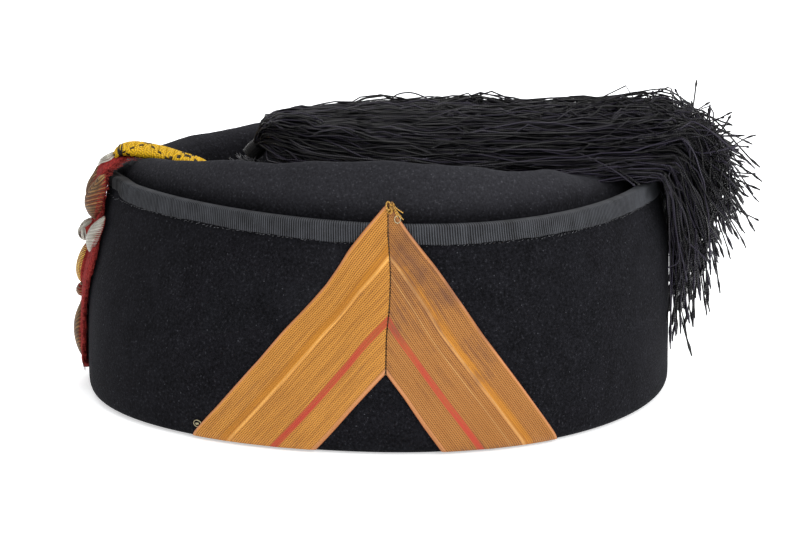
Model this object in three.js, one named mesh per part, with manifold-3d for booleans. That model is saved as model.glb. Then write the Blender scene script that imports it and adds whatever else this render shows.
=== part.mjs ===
// A black felt fez with its brim turned up into a tall cuff and its crown pushed in.
// A ribbed ribbon binds the cuff's edge, a gold lace chevron lies on the wearer's left side,
// an embroidered badge with a braid stands at the front, and a corded tassel lies over the back.
// Millimetres, +Z up. It stands on its rim, and the origin is the middle of its whole outline there.
// -X is the front, where the badge is, and -Y is the wearer's left, where the chevron is.
import * as THREE from "three";
import { mergeVertices } from "three/addons/utils/BufferGeometryUtils.js";
import Module from "manifold-3d";

const wasm = await Module();
wasm.setup();

// Driving dimensions
const feltThickness = 2.4;
const foldGap = 0.8; // between the turned-up cuff and the crown's own wall
const seat = 0.45; // between one piece and the next
const aroundSteps = 48; // sections round the hat
const cuffTop = 74.2;
const grooveBottom = 5;
const dentFloor = 60;
const stalkTop = { x: -45, y: -2, z: 80.6 }; // where the felt is drawn up to the tassel's tie

// The cuff's outer face from its top edge down, one row for each level.
// egg narrows the plan towards the front by that share on the wearer's left, and less on the right.
// On the wearer's left, front and back point the plan at that end where they are over 1, and square it
// where they are under 1.
const cuffRows = [
  { height: cuffTop, halfLength: 96.1, halfWidth: 87.6, shift: 1.7, egg: 0.2, front: 1.34, back: 1.38 },
  { height: 68, halfLength: 97.3, halfWidth: 88.8, shift: 2.0, egg: 0.185, front: 1.28, back: 1.35 },
  { height: 60, halfLength: 99.2, halfWidth: 90.6, shift: 2.4, egg: 0.16, front: 1.19, back: 1.3 },
  { height: 51, halfLength: 100.7, halfWidth: 92.4, shift: 2.1, egg: 0.13, front: 1.09, back: 1.25 },
  { height: 38, halfLength: 102.3, halfWidth: 94.3, shift: 0.9, egg: 0.1, front: 0.97, back: 1.18 },
  { height: 22, halfLength: 102.9, halfWidth: 95.7, shift: 0.7, egg: 0.08, front: 0.88, back: 1.13 },
  { height: 4, halfLength: 102.9, halfWidth: 96.1, shift: 0.7, egg: 0.075, front: 0.85, back: 1.12 },
  { height: 1.1, halfLength: 102.0, halfWidth: 95.2, shift: 0.7, egg: 0.075, front: 0.85, back: 1.12 },
  { height: 0, halfLength: 100.6, halfWidth: 93.8, shift: 0.7, egg: 0.075, front: 0.85, back: 1.12 },
];
const rightEggShare = 0.35;

// The crown's roll, one row for each 30 degrees. A bearing of 0 is the back and 270 the wearer's left.
// shoulder and ridge are how far inside the cuff's outer face the roll starts and peaks.
const rollRows = [
  { bearing: 0, height: 78.4, ridge: 18, shoulder: 8.5 },
  { bearing: 30, height: 79.6, ridge: 17, shoulder: 7 },
  { bearing: 60, height: 81.2, ridge: 15, shoulder: 5.4 },
  { bearing: 90, height: 82.4, ridge: 13.5, shoulder: 4.9 },
  { bearing: 120, height: 81.2, ridge: 13, shoulder: 4.9 },
  { bearing: 150, height: 79.8, ridge: 12.5, shoulder: 4.9 },
  { bearing: 180, height: 78.6, ridge: 12.5, shoulder: 4.9 },
  { bearing: 210, height: 84.8, ridge: 12, shoulder: 4.9 },
  { bearing: 240, height: 90, ridge: 13, shoulder: 4.9 },
  { bearing: 270, height: 93.5, ridge: 13.5, shoulder: 4.9 },
  { bearing: 300, height: 89.2, ridge: 15, shoulder: 5.6 },
  { bearing: 330, height: 81, ridge: 19, shoulder: 8.5 },
];

// Interpolation

const lerp = THREE.MathUtils.lerp;

// Where value lies between the rows' keys: the two rows and the share of the way between them.
function bracket(rows, key, value) {
  const rising = rows[rows.length - 1][key] > rows[0][key];
  const upTo = rows.findIndex((row) => (rising ? row[key] >= value : row[key] <= value));
  const last = upTo < 0 ? rows.length - 1 : Math.max(upTo, 1);
  const [from, to] = [rows[last - 1], rows[last]];
  const share = THREE.MathUtils.clamp((value - from[key]) / (to[key] - from[key]), 0, 1);
  return { from, to, share };
}

// The row between two rows of a table, column by column.
function rowAt(rows, key, value) {
  const { from, to, share } = bracket(rows, key, value);
  return Object.fromEntries(Object.keys(from).map((name) => [name, lerp(from[name], to[name], share)]));
}

// One column of the roll's table at an angle in radians, smooth all the way round.
function rollAt(angle, column) {
  const step = (2 * Math.PI) / rollRows.length;
  const turn = THREE.MathUtils.euclideanModulo(angle, 2 * Math.PI) / step;
  const index = Math.floor(turn);
  const value = (offset) => rollRows[(index + offset + rollRows.length) % rollRows.length][column];
  const [before, from, to, after] = [value(-1), value(0), value(1), value(2)];
  const share = turn - index;
  const slopeFrom = (to - before) / 2;
  const slopeTo = (after - from) / 2;
  const a = 2 * (from - to) + slopeFrom + slopeTo;
  const b = 3 * (to - from) - 2 * slopeFrom - slopeTo;
  return ((a * share + b) * share + slopeFrom) * share + from;
}

const eggOf = (row, sideways) => (sideways < 0 ? row.egg : row.egg * rightEggShare);

// How far a place on the plan reaches to the side, from -1 at the wearer's left to 1 at the right.
function reachOf(row, angle) {
  const sin = Math.sin(angle);
  return sin < 0 ? -(Math.abs(sin) ** (Math.cos(angle) < 0 ? row.front : row.back)) : sin;
}

// The hat's plan at a level, inset towards the middle. A negative inset lies outside the cuff.
function planPoint(angle, height, inset = 0, level = height) {
  const row = rowAt(cuffRows, "height", level);
  const reach = reachOf(row, angle);
  return new THREE.Vector3(
    row.shift + (row.halfLength - inset) * Math.cos(angle),
    (row.halfWidth - inset) * reach * (1 + eggOf(row, reach) * Math.cos(angle)),
    height,
  );
}

// Mesh building

// A closed surface through rings of points, closed by a point at each end.
function loftBetweenPoles(firstPole, rings, lastPole) {
  const points = [firstPole, ...rings.flat(), lastPole];
  const steps = rings[0].length;
  const faces = [];
  const at = (ring, step) => 1 + ring * steps + (step % steps);
  for (let step = 0; step < steps; step++) {
    faces.push(0, at(0, step), at(0, step + 1));
    for (let ring = 0; ring + 1 < rings.length; ring++) {
      faces.push(at(ring, step), at(ring + 1, step), at(ring + 1, step + 1));
      faces.push(at(ring, step), at(ring + 1, step + 1), at(ring, step + 1));
    }
    faces.push(at(rings.length - 1, step), points.length - 1, at(rings.length - 1, step + 1));
  }
  return indexed(points, faces);
}

// A closed band: rings of points joined in order, and the last ring joined to the first.
function loftClosed(rings) {
  const steps = rings[0].length;
  const faces = [];
  const at = (ring, step) => (ring % rings.length) * steps + (step % steps);
  for (let ring = 0; ring < rings.length; ring++) {
    for (let step = 0; step < steps; step++) {
      faces.push(at(ring, step), at(ring + 1, step), at(ring + 1, step + 1));
      faces.push(at(ring, step), at(ring + 1, step + 1), at(ring, step + 1));
    }
  }
  return indexed(rings.flat(), faces);
}

// A solid between two grids of points with the same rows and columns. The upper grid faces outwards.
function slab(lower, upper) {
  const [rows, columns] = [lower.length, lower[0].length];
  const low = (row, column) => row * columns + column;
  const high = (row, column) => (rows + row) * columns + column;
  const faces = [];
  const quad = (a, b, c, d) => faces.push(a, b, c, a, c, d);
  for (let row = 0; row + 1 < rows; row++) {
    const next = row + 1;
    for (let column = 0; column + 1 < columns; column++) {
      quad(high(row, column), high(row, column + 1), high(next, column + 1), high(next, column));
      quad(low(row, column), low(next, column), low(next, column + 1), low(row, column + 1));
    }
    quad(low(row, 0), high(row, 0), high(next, 0), low(next, 0));
    const end = columns - 1;
    quad(low(row, end), low(next, end), high(next, end), high(row, end));
  }
  for (let column = 0; column + 1 < columns; column++) {
    quad(low(0, column), low(0, column + 1), high(0, column + 1), high(0, column));
    const end = rows - 1;
    quad(low(end, column), high(end, column), high(end, column + 1), low(end, column + 1));
  }
  return indexed([...lower.flat(), ...upper.flat()], faces);
}

function indexed(points, faces) {
  const geometry = new THREE.BufferGeometry().setFromPoints(points);
  geometry.setIndex(faces);
  return outwards(mergeVertices(geometry, 1e-4));
}

// Turns every face round if the closed surface encloses a negative volume.
function outwards(geometry) {
  const position = geometry.getAttribute("position");
  const index = geometry.getIndex();
  const corner = (i) => new THREE.Vector3().fromBufferAttribute(position, index.getX(i));
  let volume = 0;
  for (let i = 0; i < index.count; i += 3) {
    volume += corner(i).dot(corner(i + 1).cross(corner(i + 2)));
  }
  if (volume < 0) index.array.reverse();
  return geometry;
}

function solidOf(geometry) {
  const merged = mergeVertices(geometry, 1e-4);
  return new wasm.Manifold(
    new wasm.Mesh({
      numProp: 3,
      vertProperties: merged.getAttribute("position").array,
      triVerts: new Uint32Array(merged.getIndex().array),
    }),
  );
}

function geometryOf(solid) {
  const { vertProperties, triVerts, numProp } = solid.getMesh();
  const position = new Float32Array((vertProperties.length / numProp) * 3);
  for (let i = 0; i < position.length / 3; i++) {
    position.set(vertProperties.subarray(i * numProp, i * numProp + 3), i * 3);
  }
  const geometry = new THREE.BufferGeometry();
  geometry.setAttribute("position", new THREE.BufferAttribute(position, 3));
  geometry.setIndex(new THREE.BufferAttribute(triVerts, 1));
  return geometry;
}

// The outer skin alone, so that gaps shut in between fused locks are filled.
function withoutSealedGaps(solid) {
  const [outer] = solid.decompose().sort((a, b) => b.volume() - a.volume());
  return outer;
}

const angles = Array.from({ length: aroundSteps }, (_, i) => (i / aroundSteps) * 2 * Math.PI);
const ring = (pointAt) => angles.map(pointAt);

// Felt body: the crown and the turned-up cuff, one piece of felt folded at the rim

// How far the crown's own wall lies inside the cuff's outer face. It parts from the cuff near the top.
function crownInset(angle, height) {
  const clear = feltThickness + foldGap;
  return lerp(clear, rollAt(angle, "shoulder"), THREE.MathUtils.smoothstep(height, 52, cuffTop));
}

// The crown's roll from its ridge outwards and inwards. rise is the share of the way from the cuff's top
// to the ridge, drop the share of the way from the ridge down to the dent's floor, and past is how far
// inside the ridge the section lies.
const rollOutside = [
  { rise: 0.4, inset: 0.13 },
  { rise: 0.75, inset: 0.4 },
  { rise: 0.95, inset: 0.74 },
];
const rollInside = [
  { drop: 0.06, past: 4 },
  { drop: 0.28, past: 8 },
  { drop: 0.62, past: 11 },
  { drop: 0.9, past: 15 },
  { drop: 1, past: 21 },
];

// The felt drawn up to the tassel's tie, as round sections from the top down.
const stalkRows = [
  { radius: 2.6, height: stalkTop.z - 0.6 },
  { radius: 5, height: 77.5 },
  { radius: 6.5, height: 72 },
  { radius: 9, height: 65.5 },
  { radius: 13.5, height: 60.9 },
];

const shoulderHeight = cuffTop + 0.6;

function rollOutsideRing({ rise, inset }) {
  return ring((angle) => {
    const height = lerp(shoulderHeight, rollAt(angle, "height"), rise);
    return planPoint(angle, height, lerp(rollAt(angle, "shoulder"), rollAt(angle, "ridge"), inset));
  });
}

function rollInsideRing({ drop, past }) {
  return ring((angle) => {
    const height = lerp(rollAt(angle, "height"), dentFloor, drop);
    return planPoint(angle, height, rollAt(angle, "ridge") + past, cuffTop);
  });
}

function stalkRing({ radius, height }) {
  return ring(
    (angle) =>
      new THREE.Vector3(stalkTop.x + radius * Math.cos(angle), stalkTop.y + radius * Math.sin(angle), height),
  );
}

function crownWallRing(height) {
  return ring((angle) => planPoint(angle, height, crownInset(angle, height)));
}

// The crown's upper skin, from the tassel's tie out over the dent and the roll and down the wall.
function crownRings() {
  const ridge = ring((angle) => planPoint(angle, rollAt(angle, "height"), rollAt(angle, "ridge")));
  return [
    ...stalkRows.map(stalkRing),
    ...rollInside.toReversed().map(rollInsideRing),
    ridge,
    ...rollOutside.toReversed().map(rollOutsideRing),
    ...[shoulderHeight, 60, 38, grooveBottom].map(crownWallRing),
  ];
}

// The turned-up cuff, from the bottom of the groove up its inner face, over its edge and down to the rim.
function cuffRings() {
  const inner = [grooveBottom, 38, 60, cuffTop - 0.8].map((height) => ({ height, inset: feltThickness }));
  const edge = [
    { height: cuffTop, inset: feltThickness - 0.7 },
    { height: cuffTop, inset: 0.6 },
    { height: cuffTop - 0.7, inset: 0 },
  ];
  const outer = cuffRows.slice(1).map(({ height }) => ({ height, inset: 0 }));
  const rim = [
    { height: 0, inset: 2.8 },
    { height: 1.2, inset: 4.8 },
  ];
  return [...inner, ...edge, ...outer, ...rim].map(({ height, inset }) =>
    ring((angle) => planPoint(angle, height, inset)),
  );
}

// Each ring's points moved along the skin's normal to the felt's other side.
function otherSide(rings, pole) {
  const steps = rings[0].length;
  return rings.map((points, i) =>
    points.map((point, j) => {
      const before = i > 0 ? rings[i - 1][j] : pole;
      const after = rings[Math.min(i + 1, rings.length - 1)][j];
      const along = after.clone().sub(before);
      const across = points[(j + 1) % steps].clone().sub(points[(j + steps - 1) % steps]);
      const normal = along.cross(across).normalize();
      return point.clone().addScaledVector(normal, -feltThickness);
    }),
  );
}

function feltBody() {
  const tie = new THREE.Vector3(stalkTop.x, stalkTop.y, stalkTop.z);
  const upper = crownRings();
  const lower = otherSide(upper, tie);
  const under = tie.clone().setZ(tie.z - feltThickness);
  return loftBetweenPoles(tie, [...upper, ...cuffRings(), ...lower.toReversed()], under);
}

// Ribbon binding over the cuff's edge

// The binding's folded section: how far inside the cuff's outer face, and how high.
const ribbonSection = [
  { inset: -1.2, height: 69.6 },
  { inset: -1.3, height: 72 },
  { inset: -1.1, height: 74.6 },
  { inset: -0.4, height: 75.4 },
  { inset: 2.7, height: 75.4 },
  { inset: 3.4, height: 74.7 },
  { inset: 3.4, height: 70 },
  { inset: 2.75, height: 70 },
  { inset: 2.75, height: cuffTop + seat },
  { inset: -seat, height: cuffTop + seat },
  { inset: -seat, height: 69.6 },
];

function ribbonBinding() {
  const leg = ({ inset, height }) => ring((angle) => planPoint(angle, height, inset));
  return loftClosed(ribbonSection.map(leg));
}

// Gold lace chevron on the wearer's left

const lace = {
  thickness: 0.9,
  apex: 82.2, // height of the upper point
  crotch: 27, // height of the lower point of the mitre
  foot: 3.9, // height of the cut ends
  mitreAngle: THREE.MathUtils.degToRad(272), // bearing of the mitre seam
  frontFoot: { outer: 67.2, inner: 21.8 }, // along the cuff from the mitre, towards the front
  backFoot: { outer: 56, inner: 14.8 }, // along the cuff from the mitre, towards the back
  stepsAlong: 11,
  stepsAcross: 6,
};

// Places along the cuff's plan, measured round it from the mitre seam.
function cuffAngleAt(distance) {
  const step = THREE.MathUtils.degToRad(0.5) * Math.sign(distance);
  let angle = lace.mitreAngle;
  let gone = 0;
  while (gone < Math.abs(distance) - 1e-9) {
    const length = planPoint(angle, 38).distanceTo(planPoint(angle + step, 38));
    const share = Math.min(1, (Math.abs(distance) - gone) / length);
    angle += step * share;
    gone += length * share;
  }
  return angle;
}

// How far an applied piece stands off the cuff's face: it climbs over the ribbon.
function overRibbon(height) {
  const bump = 1.5;
  return seat + bump * THREE.MathUtils.smoothstep(height, 60, 67);
}

function lacePoint(distance, height, lift) {
  const reach = -(overRibbon(height) + lift);
  return planPoint(cuffAngleAt(distance), height, reach);
}

function laceGrid(lift) {
  const rows = [];
  for (let row = 0; row <= lace.stepsAcross; row++) {
    const across = row / lace.stepsAcross;
    const mitreHeight = lerp(lace.apex, lace.crotch, across);
    const columns = [];
    for (let column = -lace.stepsAlong; column <= lace.stepsAlong; column++) {
      const along = Math.abs(column) / lace.stepsAlong;
      const arm = column < 0 ? lace.frontFoot : lace.backFoot;
      const reach = along * lerp(arm.outer, arm.inner, across) * Math.sign(column);
      columns.push(lacePoint(reach, lerp(mitreHeight, lace.foot, along), lift));
    }
    rows.push(columns);
  }
  return rows;
}

function rankChevron() {
  return slab(laceGrid(0), laceGrid(lace.thickness));
}

// Badge at the front: a red felt backing with padded embroidery on it

// The front of the hat from the rim up over the ribbon and onto the crown's roll.
const frontProfile = [
  { height: 4, inset: -seat },
  { height: 60, inset: -seat },
  { height: 64.5, inset: -1 },
  { height: 68, inset: -1.75 },
  { height: 74.8, inset: -2.1 },
  { height: 76.8, inset: -0.7 },
  { height: 79, inset: 3.4 },
  { height: 80, inset: 7.2 },
  { height: 80.2, inset: 10.5 },
];

// The profile's corners with the distance run along it, and a smooth outward direction at each.
const frontRuns = frontProfile.map((row, i) => {
  const before = frontProfile[Math.max(i - 1, 0)];
  const after = frontProfile[Math.min(i + 1, frontProfile.length - 1)];
  const rise = after.height - before.height;
  const fall = after.inset - before.inset;
  const length = Math.hypot(rise, fall);
  return { ...row, outInset: -rise / length, outHeight: fall / length };
});
frontRuns.forEach((row, i) => {
  const before = frontRuns[i - 1];
  row.run = i ? before.run + Math.hypot(row.height - before.height, row.inset - before.inset) : row.height;
});

// A point on the front of the hat: side is the distance towards the wearer's left, run the distance up
// the front from the surface that the hat stands on, and lift the distance off the badge's seat.
function frontPoint(side, run, lift) {
  const row = rowAt(frontRuns, "run", run);
  const width = rowAt(cuffRows, "height", row.height);
  const reach = side / ((width.halfWidth - row.inset) * (1 - eggOf(width, -side)));
  const turn = Math.asin(side > 0 ? reach ** (1 / width.front) : reach);
  const inset = row.inset + lift * row.outInset;
  return planPoint(Math.PI + turn, row.height + lift * row.outHeight, inset);
}

const backing = { thickness: 1.3, stepsAcross: 8 };

// The red felt's outline: half its width at each distance up the front.
const backingRows = [
  { run: 5.5, half: 2.5 },
  { run: 8, half: 7.5 },
  { run: 12, half: 11 },
  { run: 19, half: 13.5 },
  { run: 27, half: 13.5 },
  { run: 34, half: 15 },
  { run: 42, half: 19.5 },
  { run: 51, half: 22 },
  { run: 56, half: 22.4 },
  { run: 60, half: 22.5 },
  { run: 64.5, half: 21.9 },
  { run: 68.2, half: 21 },
  { run: 73, half: 19.5 },
  { run: 78, half: 17 },
  { run: 81, half: 14 },
  { run: 85, half: 9 },
];

function backingGrid(lift) {
  return backingRows.map(({ run, half }) => {
    const columns = [];
    for (let column = 0; column <= backing.stepsAcross; column++) {
      const side = half * (1 - (2 * column) / backing.stepsAcross);
      columns.push(frontPoint(side, run, lift));
    }
    return columns;
  });
}

function badgeBacking() {
  return slab(backingGrid(0), backingGrid(backing.thickness));
}

// Padded embroidery, one row for each piece: its middle, its length and width, the angle that it leans
// outwards, its padded height, and how blunt its ends are, from 0.3 square to 0.8 pointed. A piece that
// lies to one side has a twin on the other.
const embroidery = {
  badge_crest: { side: 0, run: 79.6, long: 8.6, wide: 11, lean: 0, tall: 2.2, taper: 0.5, slot: "silver" },
  badge_plume: { side: 7.6, run: 67.4, long: 18, wide: 9, lean: 24, tall: 5.2, taper: 0.7, slot: "purl" },
  badge_spray: { side: 14.6, run: 55.5, long: 17, wide: 7.4, lean: 38, tall: 3.6, taper: 0.8, slot: "silver" },
  badge_knot: { side: 0, run: 54.4, long: 7.6, wide: 14, lean: 0, tall: 5.2, taper: 0.5, slot: "silver" },
  badge_boss: { side: 0, run: 42.8, long: 14.6, wide: 15.5, lean: 0, tall: 4, taper: 0.35, slot: "satin" },
  badge_tie: { side: 0, run: 32.9, long: 4, wide: 13, lean: 0, tall: 3.1, taper: 0.35, slot: "purl" },
  badge_leaf: { side: 6.4, run: 19.6, long: 21.5, wide: 8.6, lean: 14, tall: 2.9, taper: 0.8, slot: "purl" },
};

const paddingSteps = { along: 6, across: 4 };
const paddingEdge = 0.5; // thickness left at a padded piece's edge

function paddedGrid({ side, run, long, wide, lean, tall, taper }, raised) {
  const leaning = THREE.MathUtils.degToRad(lean);
  const rows = [];
  for (let row = 0; row <= paddingSteps.along; row++) {
    const along = row / paddingSteps.along;
    const fullness = Math.max(Math.sin(Math.PI * along) ** taper, 0.16);
    const columns = [];
    for (let column = 0; column <= paddingSteps.across; column++) {
      const across = 1 - (2 * column) / paddingSteps.across;
      const dome = Math.sqrt(Math.max(0, 1 - across * across)) * fullness;
      const lift = raised ? paddingEdge + (tall - paddingEdge) * dome : 0;
      const [u, v] = [(across * wide * fullness) / 2, (along - 0.5) * long];
      const sideways = side + u * Math.cos(leaning) + v * Math.sin(leaning);
      const upwards = run + v * Math.cos(leaning) - u * Math.sin(leaning);
      columns.push(frontPoint(sideways, upwards, backing.thickness + seat + lift));
    }
    rows.push(columns);
  }
  return rows;
}

function paddedPiece(row) {
  return slab(paddedGrid(row, false), paddedGrid(row, true));
}

// Braid over the front of the crown, from the badge's top down into the dent

const braid = { width: 13, thickness: 4.2, sides: 8, side: -1 };

// The braid's middle line over the roll: how far along X and how high, and how much of its full size it has.
const braidRows = [
  { x: -89.6, height: 83.2, size: 0.72 },
  { x: -85.5, height: 83.5, size: 1 },
  { x: -79.5, height: 82.4, size: 1.04 },
  { x: -73, height: 79.8, size: 1.04 },
  { x: -67.5, height: 75.6, size: 1 },
  { x: -63, height: 69.6, size: 0.94 },
  { x: -58.4, height: 65.2, size: 0.8 },
];

function frontBraid() {
  const middle = braidRows.map(({ x, height }) => new THREE.Vector3(x, braid.side, height));
  const rings = middle.map((point, i) => {
    const before = middle[Math.max(i - 1, 0)];
    const after = middle[Math.min(i + 1, middle.length - 1)];
    const along = after.clone().sub(before).normalize();
    const sideways = new THREE.Vector3(0, 1, 0);
    const upwards = along.clone().cross(sideways);
    return Array.from({ length: braid.sides }, (_, k) => {
      const turn = (k / braid.sides) * 2 * Math.PI;
      return point
        .clone()
        .addScaledVector(sideways, (Math.cos(turn) * braid.width * braidRows[i].size) / 2)
        .addScaledVector(upwards, (Math.sin(turn) * braid.thickness * braidRows[i].size) / 2);
    });
  });
  return loftBetweenPoles(middle[0], rings, middle[middle.length - 1]);
}

// Tassel: locks of twisted cord fused to the bound head that the crown holds

const tassel = {
  headFrom: new THREE.Vector3(stalkTop.x, stalkTop.y, stalkTop.z + 2),
  headTo: new THREE.Vector3(-34, 0, 87),
  headRadius: 3.6,
  sides: 5,
};

// The layers of locks, from the lowest up. lanes is how many locks a layer has side by side,
// top the height over the dent and spread half the width there. over is where a lock leaves
// the rear of the crown, and tail the places that it then runs through.
// level is how far the locks of the far side stay from falling, as a share.
const tasselLayers = [
  {
    lanes: 6,
    top: 84,
    spread: 44,
    radius: 6,
    over: { x: 98, height: 86.5 },
    tail: [
      { x: 108.5, height: 76 },
      { x: 110.5, height: 52 },
      { x: 110, height: 22 },
    ],
    level: 0.1,
  },
  {
    lanes: 5,
    top: 89,
    spread: 37,
    radius: 5.6,
    over: { x: 96, height: 89 },
    tail: [
      { x: 110, height: 81 },
      { x: 118, height: 63 },
      { x: 123, height: 43 },
    ],
    level: 0.3,
  },
  {
    lanes: 4,
    top: 93,
    spread: 27,
    radius: 5,
    over: { x: 92, height: 91 },
    tail: [
      { x: 107, height: 87 },
      { x: 119, height: 76 },
      { x: 129, height: 60 },
    ],
    level: 0.4,
  },
  {
    lanes: 3,
    top: 95.5,
    spread: 15,
    radius: 3.6,
    over: { x: 88, height: 93.5 },
    tail: [
      { x: 103, height: 91.5 },
      { x: 116, height: 86.5 },
      { x: 128, height: 79 },
    ],
    level: 0.4,
  },
];

function tube(points, radii, sides) {
  const rings = points.map((point, i) => {
    const before = points[Math.max(i - 1, 0)];
    const after = points[Math.min(i + 1, points.length - 1)];
    const along = after.clone().sub(before).normalize();
    const sideways = new THREE.Vector3(0, 1, 0).addScaledVector(along, -along.y).normalize();
    const upwards = along.clone().cross(sideways);
    return Array.from({ length: sides }, (_, k) => {
      const turn = (k / sides) * 2 * Math.PI;
      return point
        .clone()
        .addScaledVector(sideways, Math.cos(turn) * radii[i])
        .addScaledVector(upwards, Math.sin(turn) * radii[i]);
    });
  });
  return loftBetweenPoles(points[0], rings, points[points.length - 1]);
}

// One lock's middle line: out of the head, over the dent and the rear of the crown, then turning down.
// side runs from -1 at the wearer's left to 1 at the right.
function lockLine({ top, spread, over, tail, level }, side) {
  const share = (side + 1) / 2;
  const overSide = 12 + side * 27;
  return [
    tassel.headTo.clone().add(new THREE.Vector3(-4, 0, -2)),
    new THREE.Vector3(-14, side * spread * 0.55, lerp(tassel.headTo.z, top, 0.85)),
    new THREE.Vector3(18, side * spread, top),
    new THREE.Vector3(60, 3 + side * spread * 0.8, lerp(top, over.height, 0.7)),
    new THREE.Vector3(over.x, overSide, over.height),
    ...tail.map(
      ({ x, height }, i) =>
        new THREE.Vector3(x, overSide + side * 4 * (i + 1), lerp(height, over.height, level * share)),
    ),
  ];
}

function fusedTassel() {
  const head = tube([tassel.headFrom, tassel.headTo], [1.8, tassel.headRadius], 8);
  const taper = [0.5, 0.85, 1, 1, 0.95, 0.85, 0.7, 0.3];
  let solid = solidOf(head);
  for (const layer of tasselLayers) {
    for (let lane = 0; lane < layer.lanes; lane++) {
      const line = lockLine(layer, (2 * lane) / (layer.lanes - 1) - 1);
      const radii = taper.map((share) => share * layer.radius);
      solid = solid.add(solidOf(tube(line, radii, tassel.sides)));
    }
  }
  return geometryOf(withoutSealedGaps(solid));
}

// Materials

function finish(color, roughness, metalness = 0) {
  return new THREE.MeshStandardMaterial({ color, roughness, metalness });
}

const finishes = {
  felt: finish("#1d1d20", 0.95),
  ribbon: finish("#3f4045", 0.8),
  lace: finish("#c98a3a", 0.6, 0.3),
  backing: finish("#9c2c2a", 0.95),
  purl: finish("#a87f4d", 0.5, 0.6),
  silver: finish("#cfccc0", 0.45, 0.6),
  satin: finish("#d8ae14", 0.5),
  braid: finish("#cfa92e", 0.7),
  cord: finish("#121116", 0.6),
};

const fez = new THREE.Group();

function addPiece(name, geometry, material) {
  const mesh = new THREE.Mesh(geometry, material);
  mesh.name = name;
  fez.add(mesh);
}

addPiece("felt_body", feltBody(), finishes.felt);
addPiece("ribbon_binding", ribbonBinding(), finishes.ribbon);
addPiece("rank_chevron", rankChevron(), finishes.lace);
addPiece("badge_backing", badgeBacking(), finishes.backing);
for (const [name, row] of Object.entries(embroidery)) {
  if (row.side === 0) {
    addPiece(name, paddedPiece(row), finishes[row.slot]);
  } else {
    const twin = { ...row, side: -row.side, lean: -row.lean };
    addPiece(`${name}_left`, paddedPiece(row), finishes[row.slot]);
    addPiece(`${name}_right`, paddedPiece(twin), finishes[row.slot]);
  }
}
addPiece("front_braid", frontBraid(), finishes.braid);
addPiece("tassel", fusedTassel(), finishes.cord);

const outline = new THREE.Box3().setFromObject(fez);
const middle = outline.getCenter(new THREE.Vector3());
fez.position.set(-middle.x, -middle.y, -outline.min.z);

export default fez;
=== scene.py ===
"""The looks of a black felt fez with its brim turned up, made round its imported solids.

The tables give millimetres in the hat's own frame. -X is the front, where the badge is, -Y the
wearer's left, where the lace chevron lies, and height 0 is the surface that the hat stands on.
"""

import logging
import math
from dataclasses import dataclass, field
from enum import Enum
from typing import Any, NamedTuple

import bmesh
import bpy
import numpy as np
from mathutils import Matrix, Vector


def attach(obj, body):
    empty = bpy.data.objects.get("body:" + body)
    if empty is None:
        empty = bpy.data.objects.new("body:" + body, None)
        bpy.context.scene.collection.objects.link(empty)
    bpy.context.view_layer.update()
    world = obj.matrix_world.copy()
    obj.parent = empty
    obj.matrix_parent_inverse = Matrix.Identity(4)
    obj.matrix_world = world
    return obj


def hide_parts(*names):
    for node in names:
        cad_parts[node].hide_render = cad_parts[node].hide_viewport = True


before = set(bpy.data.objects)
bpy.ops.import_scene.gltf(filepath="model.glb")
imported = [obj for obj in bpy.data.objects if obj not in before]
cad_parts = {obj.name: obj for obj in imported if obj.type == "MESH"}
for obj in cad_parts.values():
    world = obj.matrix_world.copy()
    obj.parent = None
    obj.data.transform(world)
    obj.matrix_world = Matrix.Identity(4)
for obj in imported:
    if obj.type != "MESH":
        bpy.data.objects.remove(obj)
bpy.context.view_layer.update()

log = logging.getLogger("fez")

MM = 0.001
HAT_TO_ROW = np.array((-11.547, 0.640, 0.0))  # the frame's origin is the middle of the whole outline
BODY = "root"
FULL_TURN = 2 * math.pi
LACE_WIDTH = 35.6
TINY = 1e-9  # keeps a length from being divided by nothing
START_SIZE = 100 * MM  # a new circle's or grid's size, before its vertices are placed
NO_THREADS_WAY = (0.31, 0.17, 0.93)  # a direction that no thread starts in

Points = np.ndarray
Object = bpy.types.Object
Socket = bpy.types.NodeSocket
NodeTree = bpy.types.NodeTree
Stops = tuple[tuple[float, str], ...]


# Helpers


def to_frame(points: Points) -> Points:
    """Turns hat millimetres into the frame's metres."""
    return (np.asarray(points, float) + HAT_TO_ROW) * MM


def to_hat(points: Points) -> Points:
    """Turns the frame's metres into hat millimetres."""
    return np.asarray(points, float) / MM - HAT_TO_ROW


def smoothstep(value: Points, low: float, high: float) -> Points:
    """Rises smoothly from 0 at low to 1 at high."""
    share = np.clip((np.asarray(value, float) - low) / (high - low), 0, 1)
    return share * share * (3 - 2 * share)


def unit(vectors: Points) -> Points:
    """Gives each vector the length 1."""
    return vectors / np.maximum(np.linalg.norm(vectors, axis=-1, keepdims=True), TINY)


def lengths_along(lines: Points) -> Points:
    """Measures how far each point lies along its line, for one line or for many."""
    steps = np.linalg.norm(np.diff(lines, axis=-2), axis=-1)
    return np.concatenate([np.zeros((*steps.shape[:-1], 1)), np.cumsum(steps, axis=-1)], axis=-1)


def between(a: Points, b: Points, c: Points, d: Points, share: Points) -> Points:
    """Reads a smooth curve at a share of the way from b to c, with a before them and d after."""
    return b + share / 2 * (c - a + share * (2 * a - 5 * b + 4 * c - d + share * (3 * (b - c) + d - a)))


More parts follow.
